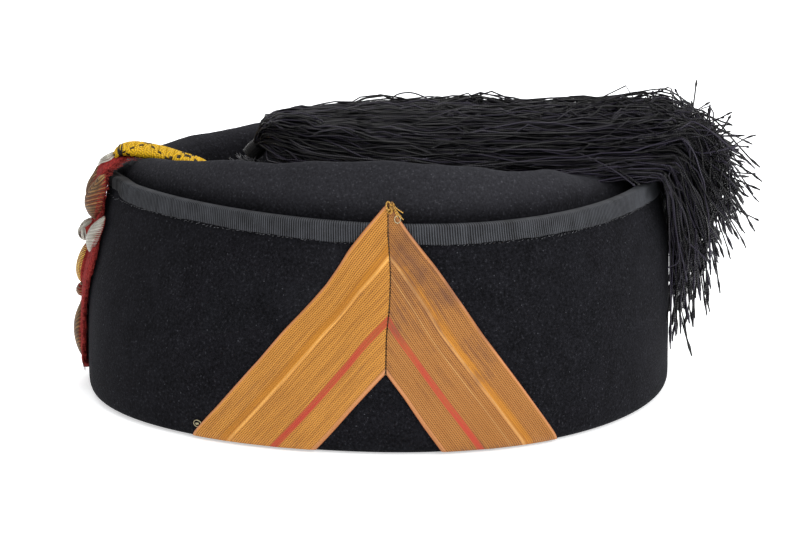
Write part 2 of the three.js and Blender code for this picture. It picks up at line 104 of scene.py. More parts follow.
def read_curve(value: Points, keys: list[float], levels: list[float]) -> Points:
    """Reads a smooth curve through a table's entries that never swings past them.

    Args:
        value: Where the curve is read.
        keys: The table's rising keys.
        levels: The table's entries.

    Returns:
        The curve's level at each value.
    """
    keys, levels = np.asarray(keys, float), np.asarray(levels, float)
    steps = np.diff(keys)
    rises = np.diff(levels) / steps
    slopes = np.zeros(len(keys))
    before, after = rises[:-1], rises[1:]
    turning = before * after > 0
    slopes[1:-1][turning] = 2 * before[turning] * after[turning] / (before + after)[turning]
    at = np.clip(np.searchsorted(keys, value) - 1, 0, len(steps) - 1)
    share = np.clip((value - keys[at]) / steps[at], 0, 1)
    square, cube = share**2, share**3
    return (
        levels[at] * (2 * cube - 3 * square + 1)
        + levels[at + 1] * (3 * square - 2 * cube)
        + slopes[at] * steps[at] * (cube - 2 * square + share)
        + slopes[at + 1] * steps[at] * (cube - square)
    )


def waves(points: Points, length: float, seed: int, count: int = 14) -> Points:
    """Reads a smooth uneven field, roughly between -1 and 1.

    Args:
        points: Places in mm.
        length: The typical length of its waves in mm.
        seed: Which field.
        count: How many plain waves it is the sum of.

    Returns:
        The field's level at each place.
    """
    rng = np.random.default_rng(seed)
    ways = rng.normal(size=(count, np.shape(points)[-1]))
    ways /= np.linalg.norm(ways, axis=1)[:, None]
    pace = FULL_TURN / (length * rng.uniform(0.7, 1.7, count))
    turns = points @ (ways * pace[:, None]).T + rng.uniform(0, FULL_TURN, count)
    return np.sin(turns).sum(-1) / math.sqrt(count)


def smooth_paths(controls: Points, shares: Points) -> Points:
    """Draws smooth lines through rows of places.

    Args:
        controls: Places of each line, as lines x places x 3.
        shares: How far along its line each point lies, from 0 to 1.

    Returns:
        The lines' points, as lines x shares x 3.
    """
    before = 2 * controls[:, :1] - controls[:, 1:2]
    after = 2 * controls[:, -1:] - controls[:, -2:-1]
    padded = np.concatenate([before, controls, after], axis=1)
    turn = np.clip(shares, 0, 1 - TINY) * (controls.shape[1] - 1)
    at = turn.astype(int)
    return between(*(padded[:, at + i] for i in range(4)), (turn - at)[None, :, None])


def deselect() -> None:
    """Leaves nothing selected, in object mode."""
    if bpy.context.object and bpy.context.object.mode != "OBJECT":
        bpy.ops.object.mode_set(mode="OBJECT")
    bpy.ops.object.select_all(action="DESELECT")


def select_only(piece: Object) -> None:
    """Makes one object the only selected and the active one."""
    deselect()
    piece.select_set(True)
    bpy.context.view_layer.objects.active = piece


def apply_modifier(piece: Object, kind: str, **settings: Any) -> None:
    """Adds a modifier with its settings and applies it."""
    select_only(piece)
    modifier = piece.modifiers.new(kind.title(), kind)
    for name, value in settings.items():
        setattr(modifier, name, value)
    bpy.ops.object.modifier_apply(modifier=modifier.name)


def smooth_over(piece: Object, degrees: float = 180) -> None:
    """Shades a piece smooth, except over edges sharper than the angle."""
    select_only(piece)
    if degrees >= 180:
        bpy.ops.object.shade_smooth()
    else:
        bpy.ops.object.shade_smooth_by_angle(angle=math.radians(degrees))


def thicken(piece: Object, depth: float, degrees: float = 180) -> None:
    """Makes a sheet into a closed piece with its faces outwards.

    Args:
        piece: The sheet, whose face stays where it is.
        depth: Its thickness in mm.
        degrees: Edges sharper than this stay sharp.
    """
    apply_modifier(piece, "SOLIDIFY", thickness=depth * MM, offset=-1)
    select_only(piece)
    bpy.ops.object.mode_set(mode="EDIT")
    bpy.ops.mesh.select_all(action="SELECT")
    bpy.ops.mesh.normals_make_consistent(inside=False)
    bpy.ops.object.mode_set(mode="OBJECT")
    smooth_over(piece, degrees)


def read_all(rows: Any, name: str, kind: type, width: int = 1) -> Points:
    """Reads one property of all a mesh's vertices, corners or attribute values.

    Args:
        rows: The mesh's collection of them.
        name: The property.
        kind: Its number type.
        width: How many numbers each has.

    Returns:
        The numbers, in rows where each has more than one.
    """
    flat = np.empty(len(rows) * width, kind)
    rows.foreach_get(name, flat)
    return flat.reshape(-1, width) if width > 1 else flat


def vertex_places(piece: Object) -> Points:
    """Reads a piece's vertices in hat millimetres."""
    return to_hat(read_all(piece.data.vertices, "co", np.float32, 3))


def place_vertices(piece: Object, points: Points) -> None:
    """Puts a piece's vertices at places in hat millimetres, with its object at the origin."""
    piece.location = (0, 0, 0)
    piece.data.vertices.foreach_set("co", to_frame(points).astype(np.float32).ravel())
    piece.data.update()


def set_uv(piece: Object, uv: Points) -> None:
    """Gives each face corner its place on the piece's UV map."""
    layer = piece.data.uv_layers.active or piece.data.uv_layers.new(name="UVMap")
    layer.data.foreach_set("uv", np.asarray(uv, np.float32).ravel())


def set_shade(piece: Object, values: Points) -> None:
    """Stores a number for each vertex, which the materials read as shade."""
    layer = piece.data.attributes.new("shade", "FLOAT", "POINT")
    layer.data.foreach_set("value", np.asarray(values, np.float32).ravel())


def cloth_grid(name: str, points: Points, uv: Points | None = None) -> Object:
    """Adds a grid and lays it over rows and columns of places.

    Args:
        name: The piece's name.
        points: Places in hat mm, as rows x columns x 3.
        uv: Each place's spot on the UV map, as rows x columns x 2.

    Returns:
        The grid's object.
    """
    rows, columns = points.shape[:2]
    deselect()
    bpy.ops.mesh.primitive_grid_add(x_subdivisions=columns - 1, y_subdivisions=rows - 1, size=START_SIZE)
    piece = bpy.context.object
    piece.name = piece.data.name = name
    place_vertices(piece, points.reshape(-1, 3))
    if uv is not None:
        set_uv(piece, uv.reshape(-1, 2)[read_all(piece.data.loops, "vertex_index", np.int32)])
    return piece


class LoopLoft:
    """A ring of edges that is extruded from section to section, and each new ring shaped."""

    def __init__(self, name: str, ring: Points) -> None:
        """Adds the first ring.

        Args:
            name: The piece's name.
            ring: The ring's places in hat mm.
        """
        deselect()
        bpy.ops.mesh.primitive_circle_add(vertices=len(ring), radius=START_SIZE)
        self.piece: Object = bpy.context.object
        self.piece.name = self.piece.data.name = name
        self.piece.location = (0, 0, 0)
        bpy.ops.object.mode_set(mode="EDIT")
        cage = bmesh.from_edit_mesh(self.piece.data)
        step = cage.verts.layers.int.new("step")
        level = cage.verts.layers.int.new("level")
        for i, vertex in enumerate(cage.verts):
            vertex[step], vertex[level] = i, 0
        self.rings = 0
        self._shape(ring)

    def _shape(self, ring: Points) -> None:
        """Moves the selected ring's vertices to their places."""
        cage = bmesh.from_edit_mesh(self.piece.data)
        step, level = cage.verts.layers.int["step"], cage.verts.layers.int["level"]
        places = to_frame(ring)
        for vertex in cage.verts:
            if vertex.select:
                vertex.co = places[vertex[step]]
                vertex[level] = self.rings
        bmesh.update_edit_mesh(self.piece.data)
        self.rings += 1

    def extrude_to(self, ring: Points) -> None:
        """Extrudes the last ring and shapes the new one."""
        bpy.ops.mesh.extrude_edges_move()
        self._shape(ring)

    @staticmethod
    def _close_end() -> None:
        """Draws the selected ring in to one point."""
        bpy.ops.mesh.extrude_edges_move()
        bpy.ops.mesh.merge(type="CENTER")

    def finish(self, round_again: bool = False) -> Object:
        """Closes the surface and turns its faces outwards.

        Args:
            round_again: True joins the last ring to the first, otherwise each end closes on a point.

        Returns:
            The closed piece.
        """
        if not round_again:
            self._close_end()
        bpy.ops.mesh.select_all(action="DESELECT")
        bpy.ops.mesh.select_mode(type="EDGE")
        bpy.ops.mesh.select_non_manifold()
        if round_again:
            bpy.ops.mesh.bridge_edge_loops()
        else:
            self._close_end()
        bpy.ops.mesh.select_mode(type="VERT")
        bpy.ops.mesh.select_all(action="SELECT")
        bpy.ops.mesh.normals_make_consistent(inside=False)
        bpy.ops.object.mode_set(mode="OBJECT")
        return self.piece

    def labels(self, name: str) -> Points:
        """Reads each vertex's step round the ring, or its ring's level."""
        return read_all(self.piece.data.attributes[name].data, "value", np.int32)


@dataclass
class Threads:
    """Many thin threads, kept as arrays and joined in one mesh.

    Args:
        sides: Faces round a thread.
    """

    sides: int
    _laid: list[tuple[Points, ...]] = field(default_factory=list)
    _count: int = 0

    def lay(self, paths: Points, radius: Points | float, shade: Points | float, flat: float = 1.0,
            face: Points | None = None) -> None:
        """Lays threads along lines.

        Args:
            paths: The threads' middle lines in hat mm, as threads x places x 3.
            radius: The radius in mm, for all or for each thread and place.
            shade: The number that the material reads, for all or for each thread.
            flat: The thickness across as a share of the width.
            face: The direction that a flat thread's broad side faces, as threads x places x 3.
        """
        lines, samples = paths.shape[:2]
        along = unit(np.gradient(paths, axis=1))
        side = unit(self._sideways(along) if face is None else np.cross(along, face))
        up = np.cross(side, along)
        radii = np.broadcast_to(np.asarray(radius, float), (lines, samples))[:, :, None, None]
        turns = np.arange(self.sides) / self.sides * FULL_TURN
        ring = np.cos(turns)[:, None] * side[:, :, None] + flat * np.sin(turns)[:, None] * up[:, :, None]
        places = paths[:, :, None] + radii * ring
        index = np.arange(places[..., 0].size).reshape(places.shape[:3]) + self._count
        turned = np.roll(index, -1, axis=2)
        quads = np.stack([index[:, :-1], index[:, 1:], turned[:, 1:], turned[:, :-1]], -1)
        caps = np.concatenate([index[:, 0], index[:, -1, ::-1]])
        gone = lengths_along(paths)
        start, end = (np.broadcast_to(g[:, :, None], quads.shape[:3]) for g in (gone[:, :-1], gone[:, 1:]))
        low = np.broadcast_to(np.arange(self.sides) / self.sides, quads.shape[:3])
        high = low + 1 / self.sides
        u, v = np.stack([start, end, end, start], -1), np.stack([low, low, high, high], -1)
        ends = np.concatenate([gone[:, 0], gone[:, -1]])[:, None]
        cap_uv = np.stack(np.broadcast_arrays(ends, low[0, 0]), -1)
        shades = np.broadcast_to(np.asarray(shade, float).reshape(-1, 1), (lines, samples * self.sides))
        uv = np.stack([u, v], -1)
        self._laid.append((places.reshape(-1, 3), quads.reshape(-1, 4), caps, uv.reshape(-1, 2),
                           cap_uv.reshape(-1, 2), shades.ravel()))
        self._count += index.size

    @staticmethod
    def _sideways(along: Points) -> Points:
        """Carries one sideways direction along each line with as little twist as can be."""
        sides = [unit(np.cross(along[:, 0], NO_THREADS_WAY))]
        for i in range(1, along.shape[1]):
            sides.append(unit(sides[-1] - (sides[-1] * along[:, i]).sum(1, keepdims=True) * along[:, i]))
        return np.stack(sides, axis=1)

    def join(self, name: str) -> Object:
        """Makes one mesh of all the threads.

        Args:
            name: The piece's name.

        Returns:
            The piece.
        """
        places, quads, caps, uvs, cap_uvs, shades = (np.concatenate(parts) for parts in zip(*self._laid))
        mesh = bpy.data.meshes.new(name)
        mesh.from_pydata(to_frame(places), [], quads.tolist() + caps.tolist())
        piece = bpy.data.objects.new(name, mesh)
        bpy.context.scene.collection.objects.link(piece)
        set_uv(piece, np.concatenate([uvs, cap_uvs]))
        set_shade(piece, shades)
        smooth_over(piece)
        return piece


def settle(piece: Object, finish: "Finish", slot: str, *nodes: str) -> None:
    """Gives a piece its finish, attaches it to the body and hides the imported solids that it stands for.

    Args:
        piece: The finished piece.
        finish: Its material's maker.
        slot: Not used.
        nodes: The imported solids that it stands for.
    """
    piece.data.materials.clear()
    piece.data.materials.append(finish.material())
    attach(piece, BODY)
    if nodes:
        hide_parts(*nodes)
    log.info("%s: %d faces", piece.name, len(piece.data.polygons))


# Finishes

BLACK, WHITE = "#000000", "#ffffff"
MIX_SHARE, MIX_FIRST, MIX_SECOND, MIX_RESULT = 0, 6, 7, 2  # a colour Mix node's sockets


def linear(hex_colour: str) -> tuple[float, float, float, float]:
    """Turns an sRGB hex colour into the linear colour that the shader reads."""
    parts = (int(hex_colour[i : i + 2], 16) / 255 for i in (1, 3, 5))
    return (*(p / 12.92 if p <= 0.04045 else ((p + 0.055) / 1.055) ** 2.4 for p in parts), 1.0)


def add_node(tree: NodeTree, kind: str, inputs: dict[int | str, Any] | None = None, stops: Stops = (),
             **settings: Any) -> bpy.types.Node:
    """Adds a node with its settings and links.

    Args:
        tree: The material's node tree.
        kind: The node's type without its ShaderNode prefix.
        inputs: A value, a hex colour or another node's socket for each named input.
        stops: A colour ramp's places and hex colours.
        settings: The node's own settings.

    Returns:
        The node.
    """
    node = tree.nodes.new(f"ShaderNode{kind}")
    for name, value in settings.items():
        setattr(node, name, value)
    for i, (place, colour) in enumerate(stops):
        ramp = node.color_ramp.elements
        stop = ramp[i] if i < len(ramp) else ramp.new(place)
        stop.position, stop.color = place, linear(colour)
    for name, value in (inputs or {}).items():
        if isinstance(value, bpy.types.NodeSocket):
            tree.links.new(value, node.inputs[name])
        else:
            node.inputs[name].default_value = linear(value) if isinstance(value, str) else value
    return node


@dataclass(frozen=True)
class Nodes:
    """One material's nodes, with a short call for each kind that the finishes share."""

    tree: NodeTree

    def place(self) -> Socket:
        """Reads the place on the object in metres."""
        return add_node(self.tree, "TexCoord").outputs["Object"]

    def uv(self) -> tuple[Socket, Socket]:
        """Reads the two numbers of the UV map."""
        parts = add_node(self.tree, "SeparateXYZ", {0: add_node(self.tree, "TexCoord").outputs["UV"]})
        return parts.outputs[0], parts.outputs[1]

    def shade(self) -> Socket:
        """Reads the number that set_shade stored."""
        return add_node(self.tree, "Attribute", attribute_name="shade").outputs["Fac"]

    def compute(self, operation: str, *values: Socket | float) -> Socket:
        """Works one operation on up to three values."""
        return add_node(self.tree, "Math", dict(enumerate(values)), operation=operation).outputs[0]

    def span(self, value: Socket, low: float, high: float, start: float, end: float) -> Socket:
        """Turns the range from low to high into the range from start to end."""
        return add_node(self.tree, "MapRange", {0: value, 1: low, 2: high, 3: start, 4: end}).outputs[0]

    def noise(self, place: Socket, grain_mm: float, detail: float, roughness: float = 0.5) -> Socket:
        """Reads cloudy noise whose grains are about so large."""
        inputs = {"Vector": place, "Scale": 1 / (grain_mm * MM), "Detail": detail, "Roughness": roughness}
        return add_node(self.tree, "TexNoise", inputs).outputs[0]

    def ramp(self, value: Socket, *stops: tuple[float, str]) -> Socket:
        """Reads a colour ramp."""
        return add_node(self.tree, "ValToRGB", {0: value}, stops).outputs[0]

    def blend(self, share: Socket | float, first: Socket | str, second: Socket | str,
              kind: str = "MIX") -> Socket:
        """Lays a share of the second colour over the first."""
        return add_node(self.tree, "Mix", {MIX_SHARE: share, MIX_FIRST: first, MIX_SECOND: second},
                        data_type="RGBA", blend_type=kind).outputs[MIX_RESULT]

    def specks(self, place: Socket, apart_mm: float, core: float, rim: float,
               rare: Socket | float) -> Socket:
        """Scatters round specks.

        Args:
            place: Where the pattern is read.
            apart_mm: The mean distance between the points that may carry a speck.
            core: The radius that is full, as a share of that distance.
            rim: The radius where a speck has faded out.
            rare: From 0, a speck at each point, to 1, none.

        Returns:
            1 on a speck and 0 off it.
        """
        cells = add_node(self.tree, "TexVoronoi", {"Vector": place, "Scale": 1 / (apart_mm * MM)})
        speck = self.ramp(cells.outputs["Distance"], (core, WHITE), (rim, BLACK))
        return self.compute("MULTIPLY", speck, self.compute("GREATER_THAN", cells.outputs["Color"], rare))

    def bump(self, height: Socket, depth_mm: float, strength: float = 1.0, invert: bool = False) -> Socket:
        """Turns a height into a surface direction."""
        inputs = {"Height": height, "Distance": depth_mm * MM, "Strength": strength}
        return add_node(self.tree, "Bump", inputs, invert=invert).outputs[0]


class Finish:
    """A procedural material that is made once and shared."""

    name: str

    def surface(self, nodes: Nodes) -> dict[str, Any]:
        """Builds the finish's nodes and returns what goes into the shader's sockets."""
        raise NotImplementedError

    def material(self) -> bpy.types.Material:
        """Makes the material, or finds it if it is already made."""
        made = bpy.data.materials.get(self.name)
        if made:
            return made
        made = bpy.data.materials.new(self.name)
        made.use_nodes = True
        tree = made.node_tree
        tree.nodes.clear()
        shader = add_node(tree, "BsdfPrincipled", self.surface(Nodes(tree)))
        add_node(tree, "OutputMaterial", {"Surface": shader.outputs[0]})
        return made


@dataclass(frozen=True)
class WoolFelt(Finish):
    """Fulled and brushed wool felt, dyed black: no gloss, a short nap that pales at grazing edges.

    The eye sees a deep black greyed by a dusting, mottled like cloth, with pale flecks of lint. The piece's
    shade is a dusting and lint together with painted top light, most on the crown's top.
    """

    name: str = "black_wool_felt"
    deep: str = "#08080a"
    worn: str = "#1a1a1e"
    # the colour of a dusting and of painted top light on the crown's top
    dust_and_top_light_tone: str = "#313135"
    fibre: str = "#55565b"
    lint: str = "#5c5d63"
    nap_mm: float = 0.9  # coarser than real, so that the nap shows at the photo's distance
    mottle_mm: float = 8.0
    lint_mm: float = 2.1
    nap_depth_mm: float = 0.2

    def surface(self, nodes: Nodes) -> dict[str, Any]:
        """Mottled black with nap bump, short grey fibres and sparse lint."""
        place, dust_and_top_light = nodes.place(), nodes.shade()
        mottle = nodes.noise(place, self.mottle_mm, 6.0)
        nap = nodes.noise(place, self.nap_mm, 4.0, 0.75)
        both = nodes.compute("MULTIPLY_ADD", mottle, 0.25, nap)
        tone = nodes.ramp(both, (0.48, self.deep), (0.78, self.worn))
        # the shade lightens the crown's top: a dusting there and painted top light together
        with_dust_and_top_light = nodes.blend(nodes.compute("MULTIPLY", dust_and_top_light, nap), tone, self.dust_and_top_light_tone)
        fuzz = nodes.compute("MULTIPLY", nodes.ramp(nap, (0.6, BLACK), (0.74, WHITE)),
                             nodes.compute("MULTIPLY_ADD", dust_and_top_light, 0.3, 0.32))
        fuzzy = nodes.blend(fuzz, with_dust_and_top_light, self.fibre)
        rare = nodes.compute("MULTIPLY_ADD", dust_and_top_light, -0.42, 0.68)
        flecks = nodes.compute("MULTIPLY", nodes.specks(place, self.lint_mm, 0.03, 0.13, rare), mottle)
        return {"Base Color": nodes.blend(flecks, fuzzy, self.lint), "Roughness": 0.95,
                "Specular IOR Level": 0.05, "Sheen Weight": 0.07, "Sheen Roughness": 0.35,
                "Sheen Tint": "#9a9ca6", "Normal": nodes.bump(nap, self.nap_depth_mm)}


@dataclass(frozen=True)
class CordedThread(Finish):
    """A thread or cord of two plies: the twist shows as slanting light and dark along it, its grooves bumped and
    darkened with painted shade.
    """

    name: str
    light: str
    dark: str
    twist_mm: float
    metallic: float = 0.0
    roughness: float = 0.6
    sheen: float = 0.0
    depth_mm: float = 0.12
    tarnish: str = ""
    specular: float = 0.5
    tarnish_mm: float = 3.5

    def surface(self, nodes: Nodes) -> dict[str, Any]:
        """Plies that slant along the UV map, painted darker in their grooves as painted shade, and a tone of its
        own for each thread.
        """
        along, round_it = nodes.uv()
        slant = nodes.compute("ADD", nodes.compute("MULTIPLY", along, 1 / self.twist_mm), round_it)
        wave = nodes.compute("SINE", nodes.compute("MULTIPLY", slant, FULL_TURN))
        ply = nodes.compute("MULTIPLY_ADD", wave, 0.5, 0.5)
        tone = nodes.blend(nodes.shade(), self.dark, self.light)
        # painted shade: the colour falls to 0.45 of its tone in the grooves between the plies
        colour = nodes.blend(1.0, tone, nodes.span(ply, 0.0, 1.0, 0.45, 1.0), "MULTIPLY")
        if self.tarnish:
            spots = nodes.noise(nodes.place(), self.tarnish_mm, 5.0)
            colour = nodes.blend(nodes.ramp(spots, (0.45, BLACK), (0.7, WHITE)), colour, self.tarnish)
        return {"Base Color": colour, "Roughness": self.roughness, "Metallic": self.metallic,
                "Specular IOR Level": self.specular, "Sheen Weight": self.sheen,
                "Normal": nodes.bump(ply, self.depth_mm)}


@dataclass(frozen=True)
class Grosgrain(Finish):
    """Ribbed ribbon of dyed cotton and rayon: charcoal, with a soft gleam along each rib painted in as a painted
    highlight, and painted shade between the ribs.
    """

    name: str = "charcoal_grosgrain"
    # the colours of the painted shade between the ribs and of the painted highlight along their tops, over the
    # charcoal
    shaded_valley: str = "#030304"
    lit_crest: str = "#484a4f"
    thread_mm: float = 0.28
    mottle_mm: float = 5.0

    def surface(self, nodes: Nodes) -> dict[str, Any]:
        """Painted shade between the ribs and a painted highlight along their tops, with a fine thread grain."""
        place = nodes.place()
        mottle = nodes.compute("MULTIPLY_ADD", nodes.noise(place, self.mottle_mm, 3.0), 0.6, -0.3)
        tone = nodes.blend(nodes.compute("ADD", nodes.shade(), mottle), self.shaded_valley, self.lit_crest)
        grain = nodes.noise(place, self.thread_mm, 2.0)
        return {"Base Color": tone, "Roughness": 0.7, "Specular IOR Level": 0.2,
                "Normal": nodes.bump(grain, 0.08, 0.7)}


@dataclass(frozen=True)
class MetalLace(Finish):
    """Woven gilt lace: flat gold thread over silk ribs, with a brick-red silk stripe, worn and tarnished.

    The eye sees a dull gold cloth of close ribs, with long streaks and brown blotches where the gilt is
    gone. The UV map runs along the tape in mm and across it from 0 at the outer edge to 1.
    """

    name: str
    gold: str = "#c28534"
    pale: str = "#d49c4e"
    groove: str = "#b2741c"
    edge: str = "#8a4a2c"
    border: str = "#b87e52"
    second: str = "#c28534"
    stripe: str = "#a83a28"
    streak: str = "#925a1f"
    shadow: str = "#3a1e0c"
    tarnish: str = "#74503c"
    spot: str = "#2a180e"
    # darkens the whole tape: tarnish, and on the back arm painted shade as well
    soil_and_shade: float = 0.0
    rib_mm: float = 0.68
    pick_mm: float = 0.78
    blotch_mm: float = 11.0
    spots_apart_mm: float = 7.0
    weave_shows: Stops = (
        (0.0, BLACK), (0.03, BLACK), (0.04, WHITE), (0.24, WHITE), (0.255, "#b0b0b0"), (0.3, "#b0b0b0"),
        (0.305, "#101010"), (0.33, "#101010"), (0.34, WHITE), (0.65, WHITE), (0.66, "#3a3a3a"),
        (0.71, "#3a3a3a"), (0.72, WHITE), (0.955, WHITE), (0.97, BLACK))

    def _bands(self) -> Stops:
        """The tape's colours across its width."""
        return (
            (0.0, self.edge), (0.008, self.border), (0.018, self.border), (0.026, self.gold),
            (0.22, self.gold), (0.25, self.groove), (0.3, self.groove), (0.31, self.pale),
            (0.326, self.pale), (0.336, self.gold), (0.42, self.gold), (0.428, self.second),
            (0.436, self.second), (0.444, self.gold), (0.65, self.gold), (0.658, self.stripe), (0.712, self.stripe),
            (0.72, self.gold), (0.955, self.gold), (0.97, self.border), (0.988, self.border),
            (1.0, self.edge))

    def _weave(self, nodes: Nodes, along: Socket, across: Socket) -> Socket:
        """Painted shade: dark lines between the lengthwise ribs, dotted where the picks dip. Returns their depth.
        """
        ribs = nodes.compute("MULTIPLY", across, LACE_WIDTH / self.rib_mm * FULL_TURN)
        rows = nodes.compute("MULTIPLY", ribs, 0.5)
        picks = nodes.compute("MULTIPLY_ADD", along, FULL_TURN / self.pick_mm, rows)
        shaded_valley = nodes.span(nodes.compute("COSINE", ribs), -0.1, 1.0, 0.0, 1.0)
        dip = nodes.span(nodes.compute("SINE", picks), -0.6, 0.8, 0.34, 1.0)
        return nodes.compute("MULTIPLY", shaded_valley, dip)

    def _streaks(self, nodes: Nodes, along: Socket, across: Socket) -> Socket:
        """Long streaks down the tape."""
        stretched = add_node(nodes.tree, "CombineXYZ", {
            0: nodes.compute("MULTIPLY", along, 0.05),
            1: nodes.compute("MULTIPLY", across, LACE_WIDTH * 1.1)}).outputs[0]
        noise = add_node(nodes.tree, "TexNoise", {"Vector": stretched, "Scale": 1.0, "Detail": 4.0})
        return nodes.span(noise.outputs[0], 0.4, 0.66, 0.0, 1.0)

    def surface(self, nodes: Nodes) -> dict[str, Any]:
        """Bands across the tape, its weave, long streaks and blotches of tarnish."""
        place = nodes.place()
        along, across = nodes.uv()
        shows = nodes.ramp(across, *self.weave_shows)
        weave = nodes.compute("MULTIPLY", self._weave(nodes, along, across), shows)
        streaks = self._streaks(nodes, along, across)
        colour = nodes.ramp(across, *self._bands())
        colour = nodes.blend(nodes.compute("MULTIPLY", streaks, 0.55), colour, self.streak)
        blotches = nodes.compute("ADD", nodes.noise(place, self.blotch_mm, 6.0, 0.62),
                                 nodes.compute("MULTIPLY_ADD", streaks, 0.22, self.soil_and_shade))
        # the level of tarnish, with painted shade on the back arm
        soil_and_shade_level = nodes.compute("ADD", blotches, nodes.shade())
        colour = nodes.blend(nodes.span(soil_and_shade_level, 0.72, 1.15, 0.0, 0.8), colour, self.tarnish)
        # painted shade laid in the weave's hollows, in the shadow colour
        colour = nodes.blend(weave, colour, self.shadow)
        colour = nodes.blend(nodes.specks(place, self.spots_apart_mm, 0.05, 0.085, 0.7), colour, self.spot)
        return {"Base Color": colour, "Roughness": 0.55, "Metallic": 0.15, "Specular IOR Level": 0.3,
                "Normal": nodes.bump(weave, 0.12, 0.6, invert=True)}


@dataclass(frozen=True)
class RedFelt(Finish):
    """Scarlet wool felt, dulled by dust: matt, with a coarse nap."""

    name: str = "scarlet_wool_felt"
    deep: str = "#5a1718"
    worn: str = "#93302c"
    nap_mm: float = 0.7

    def surface(self, nodes: Nodes) -> dict[str, Any]:
        """Mottled red with nap bump."""
        nap = nodes.noise(nodes.place(), self.nap_mm, 5.0)
        return {"Base Color": nodes.ramp(nap, (0.35, self.deep), (0.68, self.worn)), "Roughness": 0.95,
                "Specular IOR Level": 0.1, "Normal": nodes.bump(nap, 0.25, 0.9)}


# Near-black silk: the twist's crests catch small points of light, and painted shade darkens the grooves to black.
BLACK_SILK = CordedThread("black_twisted_silk", "#2b2636", "#030204", 0.85, roughness=0.22, specular=0.3,
                          depth_mm=0.24)
# Coiled gilt wire gone tan: small bright coils over brown, with darker patches.
GILT_PURL = CordedThread("gilt_bullion_purl", "#b78a52", "#3a281c", 0.42, metallic=0.55, roughness=0.4,
                         depth_mm=0.1, tarnish="#4e3423")
# Coiled silvered wire: pale coils that gleam here and there among grey-brown tarnish.
SILVER_PURL = CordedThread("silvered_bullion_purl", "#e2ded2", "#6f6c66", 0.42, metallic=0.5,
                           roughness=0.38, depth_mm=0.1, tarnish="#8d8678")
# Floss silk laid flat: clear yellow with a broad soft gleam.
YELLOW_FLOSS = CordedThread("yellow_silk_floss", "#e8c22a", "#a87f12", 2.4, roughness=0.45, sheen=0.1)
# Plaited silk: golden yellow flecked with black, with little gloss.
PLAITED_SILK = CordedThread("yellow_and_black_plaited_silk", "#e2b20e", "#150d08", 0.9, specular=0.2)
# Frayed wool: dull red ends of uneven tone.
RED_FELT_FIBRE = CordedThread("frayed_red_wool", "#b5433c", "#641a1b", 1.2, roughness=0.9, specular=0.1)
# Gilt sewing thread: a little brighter than the lace, with a faint metal glint.
GOLD_THREAD = CordedThread("gilt_sewing_thread", "#d8a548", "#8a5f25", 0.8, metallic=0.3, roughness=0.45)
# Fine wire with worn gilt: cream rings with a faint metal glint.
PALE_WIRE = CordedThread("pale_gilt_wire", "#d9cfa8", "#8d7a56", 0.6, metallic=0.3, roughness=0.45)
# Brown sewing thread: small matt stitches, darker than the lace.
SEAM_THREAD = CordedThread("brown_sewing_thread", "#9c6e3a", "#4d2f18", 0.8, roughness=0.7)
# Charcoal sewing thread: small matt stitches, lighter than the felt.
DARK_THREAD = CordedThread("charcoal_sewing_thread", "#55565a", "#232326", 0.8, roughness=0.7)
# Loose wool: a grey haze of fibres with a soft sheen.
FELT_FIBRE = CordedThread("grey_wool_fibre", "#8a8b90", "#2c2c30", 2.0, roughness=0.9, sheen=0.3,
                          specular=0.2)


# The hat's form


class CuffRow(NamedTuple):
    """The cuff's outer face at one level.

    egg narrows the plan towards the front by that share. front and back are the powers that make
    the wearer's left side fuller or flatter there: 1 is an ellipse.
    """

    height: float
    half_length: float
    half_width: float
    shift: float
    egg: float
    front: float
    back: float


class RollRow(NamedTuple):
    """The crown's roll at one bearing. ridge and shoulder lie that far inside the cuff's outer face."""

    height: float
    ridge: float
    shoulder: float


